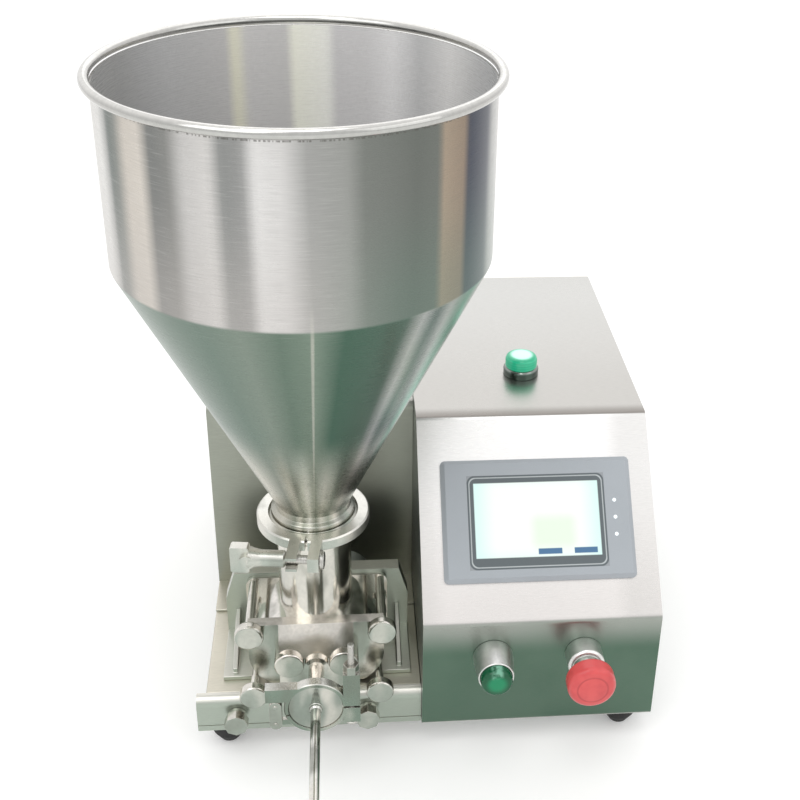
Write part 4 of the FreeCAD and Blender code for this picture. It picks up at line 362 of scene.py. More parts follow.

# top, side and front are painted reflection tones; the green-dark front tones are the floor's painted
# reflection
STEELS = {
    "satin": dict(
        name="satin_steel", top=(0.78, 0.76, 0.70), side=(0.52, 0.53, 0.49), front=(0.40, 0.45, 0.39),
        roughness=0.34, grain=ACROSS, grain_scale=160.0),
    "motor_case": dict(
        name="motor_case_steel", top=(0.72, 0.71, 0.67), side=(0.46, 0.47, 0.43),
        front=(0.34, 0.36, 0.31), roughness=0.36, grain=ACROSS, grain_scale=160.0),
    "platform": dict(
        name="platform_steel", top=(0.76, 0.72, 0.62), side=(0.52, 0.51, 0.45),
        front=(0.46, 0.48, 0.42), roughness=0.42, grain=ACROSS, grain_scale=160.0, grain_depth=0.1),
    "polished": dict(
        name="polished_steel", top=(0.80, 0.77, 0.71), side=(0.64, 0.62, 0.57),
        front=(0.37, 0.41, 0.36), roughness=0.17, grain_depth=0.06, relief=0.04, reflection_patches=0.35),
    "nozzle": dict(
        name="nozzle_steel", top=(0.84, 0.83, 0.79), side=(0.62, 0.62, 0.58), front=(0.27, 0.31, 0.27),
        roughness=0.11, grain_depth=0.05, relief=0.03, reflection_patches=0.6),
    "neck": dict(
        name="neck_steel", top=(0.88, 0.85, 0.80), side=(0.60, 0.59, 0.54), front=(0.66, 0.65, 0.59),
        roughness=0.15, grain_depth=0.06, relief=0.04, reflection_patches=0.5),
    "block": dict(
        name="block_steel", top=(0.80, 0.75, 0.70), side=(0.54, 0.54, 0.49), front=(0.30, 0.34, 0.29),
        roughness=0.20, grain_scale=420.0, grain_depth=0.08, relief=0.04, tilt=0.12, reflection_patches=0.55),
    "cast": dict(
        name="cast_steel", top=(0.80, 0.79, 0.74), side=(0.62, 0.61, 0.56), front=(0.42, 0.46, 0.41),
        roughness=0.30, grain_scale=900.0, grain_depth=0.14, relief=0.12, reflection_patches=0.3),
    "outlet_cast": dict(
        name="outlet_cast_steel", top=(0.80, 0.79, 0.75), side=(0.56, 0.57, 0.52),
        front=(0.21, 0.27, 0.22), roughness=0.26, grain_scale=900.0, reflection_patches=0.4),
    "ground": dict(
        name="ground_steel", top=GREY, side=GREY, front=GREY, roughness=0.24, grain=(1, 30, 30),
        grain_scale=120.0, grain_depth=0.1),
    "chrome": dict(
        name="bright_chrome", top=(0.86, 0.86, 0.85), side=(0.78, 0.78, 0.76),
        front=(0.62, 0.65, 0.62), roughness=0.09, grain_depth=0.03),
    "collar": dict(
        name="collar_steel", top=(0.90, 0.89, 0.87), side=(0.78, 0.77, 0.75), front=(0.72, 0.72, 0.70),
        roughness=0.34, grain_depth=0.03),
    "lamp_base": dict(
        name="dark_chrome", top=(0.34, 0.36, 0.34), side=(0.15, 0.18, 0.165), front=(0.10, 0.14, 0.12),
        roughness=0.14, grain_depth=0.03),
    "aluminium": dict(
        name="satin_aluminium", top=(0.60, 0.61, 0.61), side=(0.50, 0.51, 0.52),
        front=(0.46, 0.48, 0.47), roughness=0.36, grain_scale=700.0, grain_depth=0.14),
    "gear": dict(
        name="oiled_gear_steel", top=(0.42, 0.42, 0.43), side=(0.38, 0.38, 0.39),
        front=(0.36, 0.36, 0.37), roughness=0.3, grain_depth=0.1),
    "rim": dict(
        name="rim_steel", top=(0.78, 0.77, 0.74), side=(0.56, 0.55, 0.53), front=(0.50, 0.50, 0.48),
        roughness=0.15, grain_depth=0.06),
}


def plain(name, color, roughness, scale=900.0):
    """Rubber or moulded plastic with a fine skin and slightly uneven colour."""
    f = Finish(name, color, roughness)
    grain = f.noise(scale, 3.0)
    cloud = f.noise(20.0, 2.0)
    speck = 0.06
    f.set("Roughness", (roughness + (grain - 0.5) * speck + (cloud - 0.5) * speck).clamped())
    paler, darker = tuple(min(1, c * 1.08) for c in color), tuple(c * 0.86 for c in color)
    f.set("Base Color", f.mix((grain * 0.5 + cloud * 0.5).clamped(), paler, darker))
    f.bump(grain, 0.15, 0.0001)
    return f.material


PLAINS = {
    "motor": dict(name="motor_paint", color=(0.035, 0.036, 0.04), roughness=0.45),
    "rubber": dict(name="black_rubber", color=(0.018, 0.018, 0.018), roughness=0.75, scale=400.0),
    "seal": dict(name="seal_rubber", color=(0.72, 0.70, 0.64), roughness=0.6),
    "bezel": dict(name="bezel_plastic", color=(0.385, 0.415, 0.445), roughness=0.48, scale=1500.0),
    "black": dict(name="black_plastic", color=(0.02, 0.02, 0.022), roughness=0.45, scale=1200.0),
}


def sheet_finish():
    """The cabinet's ground sheet: grey on top, near white on the slope, deep green-grey on the front
    with a paler fold along its upper edge, all painted reflection, and grain that runs across."""
    f = Finish("panel_steel", GREY, 0.32, 1.0)
    grain_mark = f.noise(160.0, 2.0, ACROSS)
    cloud = f.noise(9.0, 3.0)
    f.set("Roughness", (0.30 + (grain_mark - 0.5) * 0.12 + (cloud - 0.5) * 0.10).clamped())
    _, back, up = f.normal()
    x, y, z = f.axes()
    ahead = 0.0 - back
    # The top's painted reflection, paler toward the back, with a dark line along its front edge
    upper = f.mix(y.fade(0.07, 0.33), (0.53, 0.515, 0.49), (0.62, 0.615, 0.595))
    upper = f.mix(1.0 - y.fade(0.066, 0.080), upper, (0.30, 0.28, 0.26))
    # The slope's painted reflection, paler toward its top and greyer at its two ends
    slope = f.mix(z.fade(0.13, 0.24), (0.76, 0.73, 0.71), (0.90, 0.89, 0.88))
    ends = (1.0 - x.fade(0.088, 0.112)) * 0.35 + x.fade(0.246, 0.266) * 0.35
    slope = f.mix(ends, slope, (0.52, 0.51, 0.49))
    # The front's painted reflection of the green floor, with its paler fold and soft clouds
    low = f.mix(z.fade(0.098, 0.131), (0.082, 0.142, 0.102), (0.33, 0.35, 0.32))
    low = f.mix(cloud.fade(0.35, 0.7) * 0.35, low, (0.15, 0.22, 0.17))
    shade = f.mix(up.fade(0.3, 0.6), (0.40, 0.43, 0.40), upper)
    shade = f.mix(ahead.fade(0.35, 0.55), shade, slope)
    shade = f.mix(ahead.fade(0.80, 0.97), shade, low)
    f.set("Base Color", f.mix(grain_mark.fade(0.35, 0.7) * 0.10, shade, (0.2, 0.2, 0.19)))
    f.bump(grain_mark, 0.06, 0.00005)
    return f.material


def thread_finish(name, axis):
    """Bolt steel with a fine thread, as ridges of one pitch along its axis, with painted shade in its
    grooves and painted highlight on its crests.
    """
    f = Finish(name, (0.62, 0.60, 0.56), 0.26, 1.0)
    along = dict(zip("xyz", f.axes()))[axis]
    ridge = (along * (2 * math.pi / THREAD_PITCH)).sine() * 0.5 + 0.5
    grain = f.noise(500.0, 2.0)
    # Painted shade in the thread's grooves and painted highlight on its crests
    f.set("Base Color", f.mix(ridge * 0.55 + grain * 0.2, (0.34, 0.34, 0.32), (0.74, 0.72, 0.68)))
    f.set("Roughness", (0.22 + grain * 0.12).clamped())
    f.bump(ridge, 0.5, 0.0003)
    return f.material


def button_finish():
    """The start button's clear green cap, with painted shading: lighter in its middle, deep at its
    rim, and a painted pale gleam above."""
    f = Finish("lens_green", (0.0, 0.17, 0.065), 0.16, Coat_Weight=0.15, Specular_IOR_Level=0.35)
    x, _, z = f.axes()
    dx, dz = x - START_BUTTON[0], z - START_BUTTON[1]
    away = dx.reach(dz)
    ripple = f.noise(160.0, 2.0)
    # Painted shading: lighter in the middle, darker at the rim
    shade = f.mix(away.fade(0.0045, 0.0105), (0.0, 0.24, 0.10), (0.0, 0.085, 0.032))
    beside = dx.magnitude().fade(0.0025, 0.0060)
    painted_gleam = dz.fade(0.0040, 0.0075) * (1.0 - beside) * ripple.fade(0.35, 0.6)
    f.set("Base Color", f.mix(painted_gleam * 0.5, shade, (0.35, 0.75, 0.55)))
    f.set("Roughness", (0.14 + ripple * 0.08).clamped())
    return f.material


def mushroom_finish():
    """The stop head's moulded red: a shallow turned ring in its face, darkened with painted shade, and
    a soft skin.
    """
    f = Finish("stop_red", (0.66, 0.075, 0.075), 0.34, Coat_Weight=0.25)
    x, _, z = f.axes()
    dx, dz = x - STOP_BUTTON[0], z - STOP_BUTTON[1]
    ring_radius = 0.0125
    ring = (dx.reach(dz) - ring_radius).magnitude().fade(0.0003, 0.0012)
    cloud = f.noise(60.0, 2.0)
    grain = f.noise(1400.0, 2.0)
    shade = f.mix(cloud.fade(0.3, 0.7), (0.70, 0.085, 0.085), (0.58, 0.055, 0.06))
    # Painted shade darkens the turned ring
    f.set("Base Color", f.mix((1.0 - ring) * 0.45, shade, (0.36, 0.02, 0.025)))
    f.set("Roughness", (0.32 + (grain - 0.5) * 0.08).clamped())
    f.bump(ring + grain * 0.05, 0.35, 0.0003)
    return f.material


def dot_finish():
    """Three small signal lights."""
    f = Finish("signal_dots", (0.8, 0.84, 0.85), 0.3, Coat_Weight=0.3)
    speck = f.noise(1500.0, 2.0)
    f.set("Base Color", f.mix(speck, (0.84, 0.88, 0.88), (0.72, 0.78, 0.80)))
    f.set("Emission Color", (0.9, 0.97, 1.0, 1.0))
    f.set("Emission Strength", 0.35)
    return f.material


def slope_axes(f):
    """Along and up-slope places in metres, counted from the lower left end of the sloping front."""
    x, y, z = f.axes()
    c, d = math.cos(SLOPE_ANGLE), math.sin(SLOPE_ANGLE)
    return x - SLOPE_FOOT[0], (y - SLOPE_FOOT[1]) * c + (z - SLOPE_FOOT[2]) * d


def screen_finish():
    """Touch screen: a pale display in a dark rounded border with a thin light line, a faint green
    block and two small plain bars at the lower right. Each block is given by its left, right, lower
    and upper edge in metres, along and up the slope."""
    f = Finish("touch_screen", (0.5, 0.6, 0.62), 0.12, Coat_Weight=0.4)
    along, up = slope_axes(f)

    def block(left, right, low, high, soft=0.0004, corner=0.0):
        cx, cy = (left + right) / 2, (low + high) / 2
        dx = ((along - cx).magnitude() - ((right - left) / 2 - corner)).most(0.0)
        dy = ((up - cy).magnitude() - ((high - low) / 2 - corner)).most(0.0)
        away = dx.reach(dy) - corner
        return 1.0 - away.fade(0.0, soft * 2)

    border = block(0.0405, 0.1565, 0.0435, 0.1215, corner=0.006)
    line = block(0.0420, 0.1550, 0.0450, 0.1200, corner=0.005)
    inner = block(0.0428, 0.1542, 0.0458, 0.1192, corner=0.005)
    display = block(0.046, 0.151, 0.053, 0.115)
    patch = block(0.066, 0.131, 0.064, 0.107, soft=0.012)
    first = block(0.0983, 0.1175, 0.0550, 0.0590)
    second = block(0.1287, 0.1475, 0.0550, 0.0590)
    color = f.mix(border, (0.30, 0.32, 0.34), (0.10, 0.12, 0.13))
    color = f.mix(line - inner, color, (0.5, 0.54, 0.55))
    leaf = block(0.100, 0.124, 0.066, 0.080, soft=0.006)
    shown = f.mix(patch * 0.9, (0.70, 0.94, 0.90), (0.98, 1.0, 0.95))
    shown = f.mix(leaf * 0.40, shown, (0.62, 0.95, 0.55))
    shown = f.mix(first.most(second), shown, (0.06, 0.17, 0.33))
    color = f.mix(display, color, f.mix(0.8, shown, (0.0, 0.0, 0.0)))
    f.set("Base Color", color)
    f.set("Emission Color", f.mix(display, (0.0, 0.0, 0.0), shown))
    f.set("Emission Strength", 0.82)
    return f.material


def lamp_finish():
    """A lit ribbed lens: white-green on its crown and deeper green round its side."""
    f = Finish("lamp_lens", (0.25, 0.72, 0.5), 0.2, Coat_Weight=0.4)
    x, y, z = f.axes()
    _, _, up = f.normal()
    away = (x - PILOT_LAMP[0]).reach(y - PILOT_LAMP[1])
    crown = up.fade(0.55, 0.98) * (1.0 - away.fade(0.0070, 0.0118))
    ribs_turn = 2600.0  # radians of the ribs' wave per metre of height
    ribs = (z * ribs_turn).sine() * 0.5 + 0.5
    side = f.mix(ribs * 0.5, (0.02, 0.40, 0.22), (0.004, 0.22, 0.11))
    f.set("Base Color", f.mix(crown, side, (0.40, 0.75, 0.62)))
    f.set("Emission Color", f.mix(crown, (0.01, 0.26, 0.14), (0.62, 1.0, 0.86)))
    f.set("Emission Strength", 0.62)
    return f.material


# The hopper's painted reflection bands as (place, colour), place counted round its axis from 0 to 1,
# a quarter at the front

LIGHT, SOFT = (0.66, 0.65, 0.63), (0.54, 0.51, 0.48)
MID, DIM = (0.38, 0.38, 0.37), (0.27, 0.28, 0.27)

# Painted reflection bands of the bowl's outside
BOWL_REFLECTIONS = [
    (0.00, SOFT), (0.068, LIGHT), (0.081, (0.40, 0.40, 0.39)), (0.087, (0.12, 0.14, 0.13)),
    (0.098, (0.21, 0.22, 0.205)), (0.112, (0.56, 0.52, 0.47)), (0.130, (0.60, 0.56, 0.51)),
    (0.141, (0.19, 0.195, 0.19)), (0.158, (0.24, 0.24, 0.23)), (0.170, (0.50, 0.49, 0.48)),
    (0.190, (0.58, 0.565, 0.55)), (0.200, (0.24, 0.245, 0.24)), (0.214, (0.28, 0.28, 0.275)),
    (0.224, (0.66, 0.65, 0.64)), (0.244, (0.60, 0.59, 0.58)), (0.262, (0.34, 0.34, 0.33)),
    (0.288, (0.30, 0.305, 0.29)), (0.300, (0.185, 0.195, 0.18)), (0.340, (0.140, 0.150, 0.137)),
    (0.361, (0.155, 0.165, 0.15)), (0.367, (0.34, 0.275, 0.21)), (0.391, (0.27, 0.21, 0.16)),
    (0.399, (0.05, 0.057, 0.08)), (0.432, (0.085, 0.09, 0.11)), (0.444, (0.40, 0.40, 0.39)),
    (0.480, (0.64, 0.63, 0.61)), (0.56, DIM), (0.66, SOFT), (0.75, LIGHT), (0.86, MID), (1.00, SOFT),
]

# Painted reflection bands of the cone, with the green floor's reflection
CONE_REFLECTIONS = [
    (0.00, (0.20, 0.25, 0.22)), (0.10, (0.17, 0.22, 0.185)), (0.17, (0.14, 0.195, 0.16)),
    (0.205, (0.20, 0.245, 0.205)), (0.235, (0.13, 0.185, 0.145)), (0.262, (0.19, 0.25, 0.20)),
    (0.285, (0.06, 0.125, 0.088)), (0.335, (0.09, 0.15, 0.115)), (0.352, (0.50, 0.50, 0.48)),
    (0.366, (0.15, 0.20, 0.17)), (0.385, (0.36, 0.39, 0.36)), (0.412, (0.14, 0.40, 0.29)),
    (0.430, (0.42, 0.50, 0.46)), (0.455, (0.62, 0.60, 0.57)), (0.50, (0.30, 0.32, 0.30)),
    (0.62, (0.20, 0.225, 0.205)), (0.72, (0.34, 0.355, 0.34)), (0.84, (0.20, 0.225, 0.205)),
    (1.00, (0.20, 0.25, 0.22)),
]

# Painted reflection bands of the inside, with bright painted highlights
INSIDE_REFLECTIONS = [
    (0.00, (0.36, 0.36, 0.355)), (0.25, (0.60, 0.60, 0.58)), (0.50, (0.40, 0.405, 0.41)),
    (0.56, (0.58, 0.58, 0.58)), (0.60, (0.84, 0.83, 0.82)), (0.635, (0.64, 0.64, 0.64)),
    (0.665, (0.92, 0.91, 0.91)), (0.690, (0.76, 0.75, 0.75)), (0.720, (0.72, 0.71, 0.71)),
    (0.728, (1.0, 1.0, 0.94)), (0.758, (1.0, 1.0, 0.88)), (0.766, (0.66, 0.65, 0.64)),
    (0.800, (0.70, 0.69, 0.68)), (0.811, (0.92, 0.90, 0.72)), (0.820, (0.62, 0.61, 0.60)),
    (0.88, (0.52, 0.52, 0.52)), (0.94, (0.36, 0.36, 0.36)), (1.00, (0.36, 0.36, 0.355)),
]

# Painted highlights and reflection bands of the cone's foot
FOOT_REFLECTIONS = [
    (0.00, (0.44, 0.43, 0.38)), (0.12, (0.60, 0.57, 0.50)), (0.175, (0.26, 0.27, 0.23)),
    (0.20, (0.62, 0.60, 0.53)), (0.215, (0.34, 0.35, 0.30)), (0.240, (0.82, 0.80, 0.73)),
    (0.262, (0.36, 0.38, 0.32)), (0.285, (0.66, 0.64, 0.57)), (0.315, (0.30, 0.32, 0.27)),
    (0.345, (0.62, 0.60, 0.54)), (0.38, (0.24, 0.25, 0.22)), (0.43, (0.50, 0.49, 0.44)),
    (0.50, (0.34, 0.34, 0.31)), (1.00, (0.44, 0.43, 0.38)),
]


def hopper_finish():
    """Spun and brushed sheet. Round the axis, place = (angle + half a turn) / a turn. The bowl, the
    cone, the cone's foot and the inside each have their own upright bands of painted reflection, with
    fine rings across them, a row of small weld marks under the rim and one upright seam down the cone."""
    f = Finish("hopper_steel", SOFT, 0.22, 1.0)
    x, y, z = f.axes()
    angle = f.node("ShaderNodeMath", {"operation": "ARCTAN2"}, y, x)["Value"]

    def noise_at(scale, detail, *point):
        return f.noise(scale, detail, at=f.point(*point))

    rings = noise_at(30.0, 3.0, angle * 0.25, 0.0, z * 55.0)
    scratch = noise_at(60.0, 2.0, angle * 0.10, 0.0, z * 20.0)
    waver = noise_at(1.0, 2.0, x * 14.0, y * 14.0, z * 3.0)
    spot = noise_at(1.0, 2.0, angle * 75.0, 0.0, z * 30.0)
    turn = (angle + math.pi) / (2 * math.pi)
    place = turn + (waver - 0.5) * 0.010

    def reflection_bands(tones):
        return f.node("ShaderNodeValToRGB", {"stops": tones}, place)["Color"]

    # The bowl's painted reflection bands, with the machine's dim mirror image painted in its lower
    # part
    mirrored = f.mix(place.fade(0.24, 0.33), (0.47, 0.44, 0.42), (0.13, 0.21, 0.165))
    bowl = f.mix((1.0 - z.fade(SHOULDER_Z, 0.545)) * 0.38, reflection_bands(BOWL_REFLECTIONS), mirrored)
    # The cone and its foot, each in painted reflection bands, and its seam
    cone = f.mix((1.0 - z.fade(0.255, 0.33)) * 0.85, reflection_bands(CONE_REFLECTIONS), reflection_bands(FOOT_REFLECTIONS))
    outside = f.mix(z.fade(SHOULDER_Z - 0.0015, SHOULDER_Z + 0.0015), cone, bowl)
    seam_place = 0.2595
    seam = (turn - seam_place).magnitude().fade(0.0004, 0.0022)
    outside = f.mix((1.0 - seam) * (1.0 - z.fade(0.43, 0.47)) * 0.55, outside, (0.58, 0.57, 0.51))
    # The weld marks
    marks = (1.0 - (z - WELD_MARKS_Z).magnitude().fade(0.0003, 0.0009)) * spot.fade(0.46, 0.56)
    outside = f.mix(marks * 0.7, outside, (0.10, 0.095, 0.085))
    # Which side of the sheet it is, with painted reflection bands on the inside, and the wear of the
    # outside
    nx, ny, _ = f.normal()
    facing = (nx * x + ny * y).fade(-0.004, 0.004)
    shade = f.mix(facing, reflection_bands(INSIDE_REFLECTIONS), outside)
    brushed = scratch.fade(0.52, 0.80) * z.fade(0.40, 0.47) * (1.0 - turn.fade(0.26, 0.31))
    shade = f.mix(brushed * facing * 0.16, shade, (0.76, 0.75, 0.73))
    calm = z.fade(0.28, 0.42) * (facing * 0.7 + 0.3)
    f.set("Base Color", f.mix(rings.fade(0.40, 0.70) * calm * 0.12, shade, (0.16, 0.16, 0.155)))
    f.set("Metallic", 0.15 + facing * 0.85)
    f.set("Roughness", (0.21 + rings * 0.14 + (waver - 0.5) * 0.10).clamped())
    f.bump(rings * calm + marks * -2.0, 0.06, 0.00008)
    return f.material


# The finishes by name, made by the first step
FINISH = {}

# The nodes that take each finish
NODE_FINISH = {
    "satin": ["base_tray", "cabinet_back_panel", "pump_frame", "pump_stand"],
    "panel": ["cabinet_shell"],
    "motor_case": ["motor_housing"],
    "platform": ["base_plate", "rear_deck"],
    "block": ["pump_cover"],
    "neck": ["pump_body"],
    "polished": ["cover_studs", "knob_lower_left", "knob_lower_right", "knob_upper_left",
                 "knob_upper_right", "outlet_clamp_link", "outlet_clamp_nut", "drive_rotor_nut",
                 "driven_rotor_nut", "hand_screw_left", "hand_screw_right", "screws"],
    "cast": ["hopper_clamp_half_left", "hopper_clamp_half_right", "hopper_clamp_wing_nut"],
    "outlet_cast": ["outlet_clamp_lower", "outlet_clamp_upper"],
    "nozzle": ["nozzle"],
    "ground": ["drive_rotor", "driven_rotor", "drive_shaft", "driven_shaft", "shaft_bearings"],
    "chrome": ["estop_plunger"],
    "collar": ["estop_collar", "start_button_collar"],
    "lamp_base": ["pilot_lamp_base"],
    "aluminium": ["gear_case", "shaft_coupling", "drive_electronics"],
    "gear": ["drive_timing_gear", "driven_timing_gear"],
    "motor": ["drive_motor"],
    "rubber": ["feet", "shaft_seals"],
    "seal": ["cover_seal", "hopper_gasket", "outlet_gasket"],
    "bezel": ["hmi_bezel"],
    "black": ["contact_blocks", "power_inlet", "power_rocker"],
    "red": ["estop_head"],
    "green": ["start_button_cap"],
    "screen": ["hmi_screen"],
    "lamp": ["pilot_lamp_lens"],
    "dots": ["hmi_leds"],
    "hopper": ["hopper"],
    "upright_thread": ["outlet_clamp_bolt"],
    "cross_thread": ["hopper_clamp_bolt"],
}


def make_finishes():
    """Every material of the machine, by name."""
    finishes = {key: steel(**settings) for key, settings in STEELS.items()}
    finishes.update({key: plain(**settings) for key, settings in PLAINS.items()})
    finishes.update({
        "panel": sheet_finish(),
        "red": mushroom_finish(),
        "green": button_finish(),
        "screen": screen_finish(),
        "lamp": lamp_finish(),
        "dots": dot_finish(),
        "hopper": hopper_finish(),
        "upright_thread": thread_finish("upright_thread_steel", "z"),
        "cross_thread": thread_finish("cross_thread_steel", "x"),
    })
    return finishes


# Settings

class HopperSettings(bpy.types.PropertyGroup):
    """Settings of the hopper's skin."""
    turns: IntProperty(name="Segments", description="Segments round the hopper", default=160, min=24)


class StudioSettings(bpy.types.PropertyGroup):
    """Settings of the floor and the even light."""
    floor: FloatVectorProperty(name="Floor", description="Floor colour", default=(0.86, 0.86, 0.85),
                               size=3, subtype="COLOR")
    world: FloatProperty(name="Surroundings", description="Strength of the even light", default=0.92)
    lift: FloatProperty(name="Floor lift", description="How far the floor is lifted where it is seen",
                        default=0.2)


# Steps

class FILLER_OT_finishes(bpy.types.Operator):
    """Makes the finishes and gives every machine node its own."""
    bl_idname = "filler.finishes"
    bl_label = "Finishes"

    def execute(self, context):
        FINISH.update(make_finishes())
        for name, nodes in NODE_FINISH.items():
            for node in nodes:
                dress(node, FINISH[name])
        left = sorted(set(frame["nodes"]) - {n for nodes in NODE_FINISH.values() for n in nodes})
        if left:
            raise RuntimeError("no finish for %s" % left)
        return {"FINISHED"}


# Width of the broken corners in metres, and the nodes that have them
SOFT_CORNERS = {
    0.0006: ["pump_cover", "pump_stand", "pump_frame", "rear_deck", "base_plate", "outlet_clamp_link",
             "hopper_clamp_bolt", "outlet_clamp_bolt", "cover_studs", "screws", "nozzle", "hmi_bezel",
             "power_inlet", "cabinet_back_panel", "estop_collar", "start_button_collar",
             "pilot_lamp_base"],
    0.0009: ["hopper_clamp_half_left", "hopper_clamp_half_right", "outlet_clamp_lower",
             "outlet_clamp_upper", "hopper_clamp_wing_nut", "outlet_clamp_nut", "knob_upper_left",
             "knob_upper_right", "knob_lower_left", "knob_lower_right", "hand_screw_left",
             "hand_screw_right"],
    0.0014: ["feet", "estop_head", "start_button_cap", "pilot_lamp_lens"],
}


class FILLER_OT_corners(bpy.types.Operator):
    """Breaks the sharp corners of the machined, cast and moulded pieces."""
    bl_idname = "filler.corners"
    bl_label = "Broken corners"

    def execute(self, context):
        finish_of = {node: FINISH[name] for name, nodes in NODE_FINISH.items() for node in nodes}
        for width, nodes in SOFT_CORNERS.items():
            for node in nodes:
                softened(node, width, finish_of[node])
        return {"FINISHED"}


class FILLER_OT_hopper(bpy.types.Operator):
    """Turns the hopper's smooth skin: bowl, cone, tube, clamp flange and rolled rim."""
    bl_idname = "filler.hopper"
    bl_label = "Hopper"

    def execute(self, context):
        low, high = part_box("hopper")
        outer_r, wall, bead = 0.139, 0.0015, 0.0037
        bore_r, tube_r, neck_r, flange_r = 0.0285, 0.0305, 0.0340, 0.03875
        rim, base = high.z - bead, low.z
        foot_z, inner_foot_z = 0.224, 0.226
        corners = [
            (bore_r, base), (flange_r, base), (flange_r, base + 0.0016), (neck_r, base + 0.0036),
            (neck_r, base + 0.0085), (tube_r, base + 0.0105), (tube_r, foot_z),
            (outer_r, SHOULDER_Z), (outer_r, rim - bead * 0.9), (outer_r - wall, rim - bead * 0.9),
            (outer_r - wall, SHOULDER_Z), (bore_r, inner_foot_z),
        ]
        radii = [0, 0.0004, 0.0004, 0.0008, 0.0018, 0.001, 0.003, 0.004, 0, 0, 0.004, 0.003]
        profile = rounded(corners, radii)
        turns = context.scene.filler_hopper.turns
        skin = mesh_from_grid("hopper_skin", turned_points(profile, turns))
        add_piece("hopper_skin", skin, FINISH["hopper"], stands_for=["hopper"])
        bead_steps = 24
        angle = np.linspace(0, 2 * np.pi, bead_steps, endpoint=False)
        ring = outer_r + bead - wall / 2
        section = np.stack([ring + bead * np.cos(angle), rim + bead * np.sin(angle)], axis=-1)
        roll = mesh_from_grid("hopper_rim", turned_points(section, turns))
        add_piece("hopper_rim", roll, FINISH["rim"])
        return {"FINISHED"}


FLOOR_HALF = 6.0  # half the floor's side in metres
AIM = (0.05, 0.1, 0.25)  # the point that the lights look at

# Name, place and side in metres, and power in watts
LIGHTS = (
    ("key_light", (-1.2, -1.4, 2.2), 1.8, 13.0),
    ("high_light", (-0.1, -0.5, 2.6), 1.2, 8.0),
    ("fill_light", (1.6, -1.0, 1.4), 1.6, 5.0),
    ("back_light", (0.2, 1.8, 1.8), 1.8, 4.0),
)

# Found by fitting the photograph
CAMERA_PLACE = (0.0303, -0.8614, 0.8160)
CAMERA_HEADING, CAMERA_TILT, CAMERA_ROLL = (math.radians(a) for a in (6.341, -27.836, 1.896))
CAMERA_SENSOR, CAMERA_LENS = 36.0, 56.70
CAMERA_SHIFT = (-0.0886, -0.0649)


def place_floor(scene):
    """A wide floor, lifted toward white only for the rays that show it."""
    settings = scene.filler_studio
    far = FLOOR_HALF
    points = np.array([[[-far, -far, 0], [far, -far, 0]], [[-far, far, 0], [far, far, 0]]])
    mesh = mesh_from_grid("studio_floor", points, wrap_u=False, wrap_v=False)
    floor = bpy.data.objects.new("studio_floor", mesh)
    scene.collection.objects.link(floor)
    f = Finish("floor_paint", tuple(settings.floor), 0.6)
    floor.data.materials.append(f.material)
    rays = f.node("ShaderNodeLightPath")
    seen = rays["Is Camera Ray"] + rays["Is Glossy Ray"] + rays["Is Transmission Ray"]
    f.set("Emission Color", f.mix(seen.clamped(), (0.0, 0.0, 0.0), (1.0, 1.0, 1.0)))
    f.set("Emission Strength", settings.lift)


def light_world(scene):
    """An even white light, at full strength for the rays that show it."""
    world = bpy.data.worlds.new("soft_light")
    world.use_nodes = True
    scene.world = world
    nodes, links = world.node_tree.nodes, world.node_tree.links
    back = nodes["Background"]
    back.inputs["Color"].default_value = (1.0, 1.0, 1.0, 1.0)
    path = nodes.new("ShaderNodeLightPath")
    seen, seen_or_through = nodes.new("ShaderNodeMath"), nodes.new("ShaderNodeMath")
    seen.operation = seen_or_through.operation = "ADD"
    seen_or_through.use_clamp = True
    level = nodes.new("ShaderNodeMapRange")
    level.inputs["To Min"].default_value = scene.filler_studio.world
    level.inputs["To Max"].default_value = 1.0
    links.new(path.outputs["Is Camera Ray"], seen.inputs[0])
    links.new(path.outputs["Is Glossy Ray"], seen.inputs[1])
    links.new(seen.outputs["Value"], seen_or_through.inputs[0])
    links.new(path.outputs["Is Transmission Ray"], seen_or_through.inputs[1])
    links.new(seen_or_through.outputs["Value"], level.inputs["Value"])
    links.new(level.outputs["Result"], back.inputs["Strength"])


def hang_lights(scene):
    """Soft square lights that look at the machine."""
    for name, place, side, power in LIGHTS:
        lamp = bpy.data.lights.new(name, "AREA")
        lamp.size, lamp.energy = side, power
        holder = bpy.data.objects.new(name, lamp)
        scene.collection.objects.link(holder)
        aim = Vector(AIM) - Vector(place)
        holder.rotation_euler = aim.to_track_quat("-Z", "Y").to_euler()
        holder.location = place


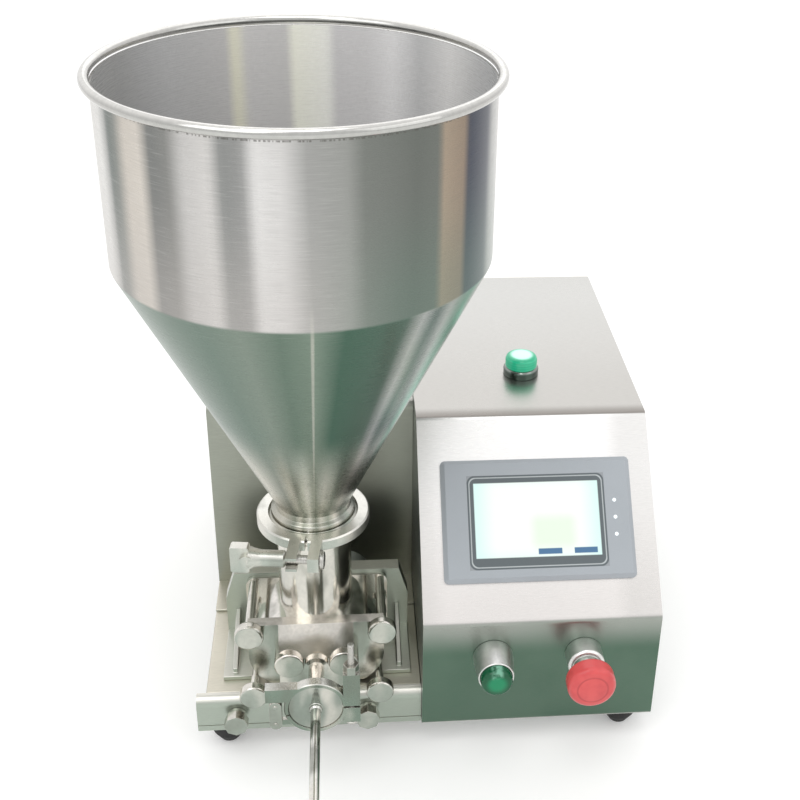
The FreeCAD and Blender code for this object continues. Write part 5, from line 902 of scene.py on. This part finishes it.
def place_camera(scene):
    """The camera at the photograph's place, turned by its heading, tilt and roll."""
    yaw, pitch, roll = CAMERA_HEADING, CAMERA_TILT, CAMERA_ROLL
    ahead = Vector((math.sin(yaw) * math.cos(pitch), math.cos(yaw) * math.cos(pitch), math.sin(pitch)))
    level = Vector((math.cos(yaw), -math.sin(yaw), 0.0))
    square = level.cross(ahead)
    right = level * math.cos(roll) + square * math.sin(roll)
    up = square * math.cos(roll) - level * math.sin(roll)
    data = bpy.data.cameras.new("photo_camera")
    data.sensor_width = CAMERA_SENSOR
    data.lens = CAMERA_LENS
    data.shift_x, data.shift_y = CAMERA_SHIFT
    camera = bpy.data.objects.new("photo_camera", data)
    rows = [(right[i], up[i], -ahead[i], CAMERA_PLACE[i]) for i in range(3)]
    camera.matrix_world = Matrix((*rows, (0, 0, 0, 1)))
    scene.collection.objects.link(camera)
    scene.camera = camera


class FILLER_OT_studio(bpy.types.Operator):
    """Floor, soft lights and the camera at the photograph's place."""
    bl_idname = "filler.studio"
    bl_label = "Studio"

    def execute(self, context):
        place_floor(context.scene)
        light_world(context.scene)
        hang_lights(context.scene)
        place_camera(context.scene)
        context.scene.view_settings.view_transform = "Standard"
        return {"FINISHED"}


class FILLER_PT_panel(bpy.types.Panel):
    """The machine's pieces in the sidebar."""
    bl_idname = "FILLER_PT_panel"
    bl_label = "Filler machine"
    bl_space_type = "VIEW_3D"
    bl_region_type = "UI"
    bl_category = "Filler"

    def draw(self, context):
        scene = context.scene
        for step in STEPS:
            self.layout.operator(step.bl_idname)
        self.layout.prop(scene.filler_hopper, "turns")
        for name in ("floor", "world", "lift"):
            self.layout.prop(scene.filler_studio, name)


STEPS = [FILLER_OT_finishes, FILLER_OT_corners, FILLER_OT_hopper, FILLER_OT_studio]
CLASSES = [HopperSettings, StudioSettings, *STEPS, FILLER_PT_panel]


def register():
    for cls in CLASSES:
        bpy.utils.register_class(cls)
    bpy.types.Scene.filler_hopper = PointerProperty(type=HopperSettings)
    bpy.types.Scene.filler_studio = PointerProperty(type=StudioSettings)


def unregister():
    del bpy.types.Scene.filler_studio
    del bpy.types.Scene.filler_hopper
    for cls in reversed(CLASSES):
        bpy.utils.unregister_class(cls)


def main():
    register()
    for step in STEPS:
        group, name = step.bl_idname.split(".")
        getattr(getattr(bpy.ops, group), name)()


if __name__ == "__main__":
    main()
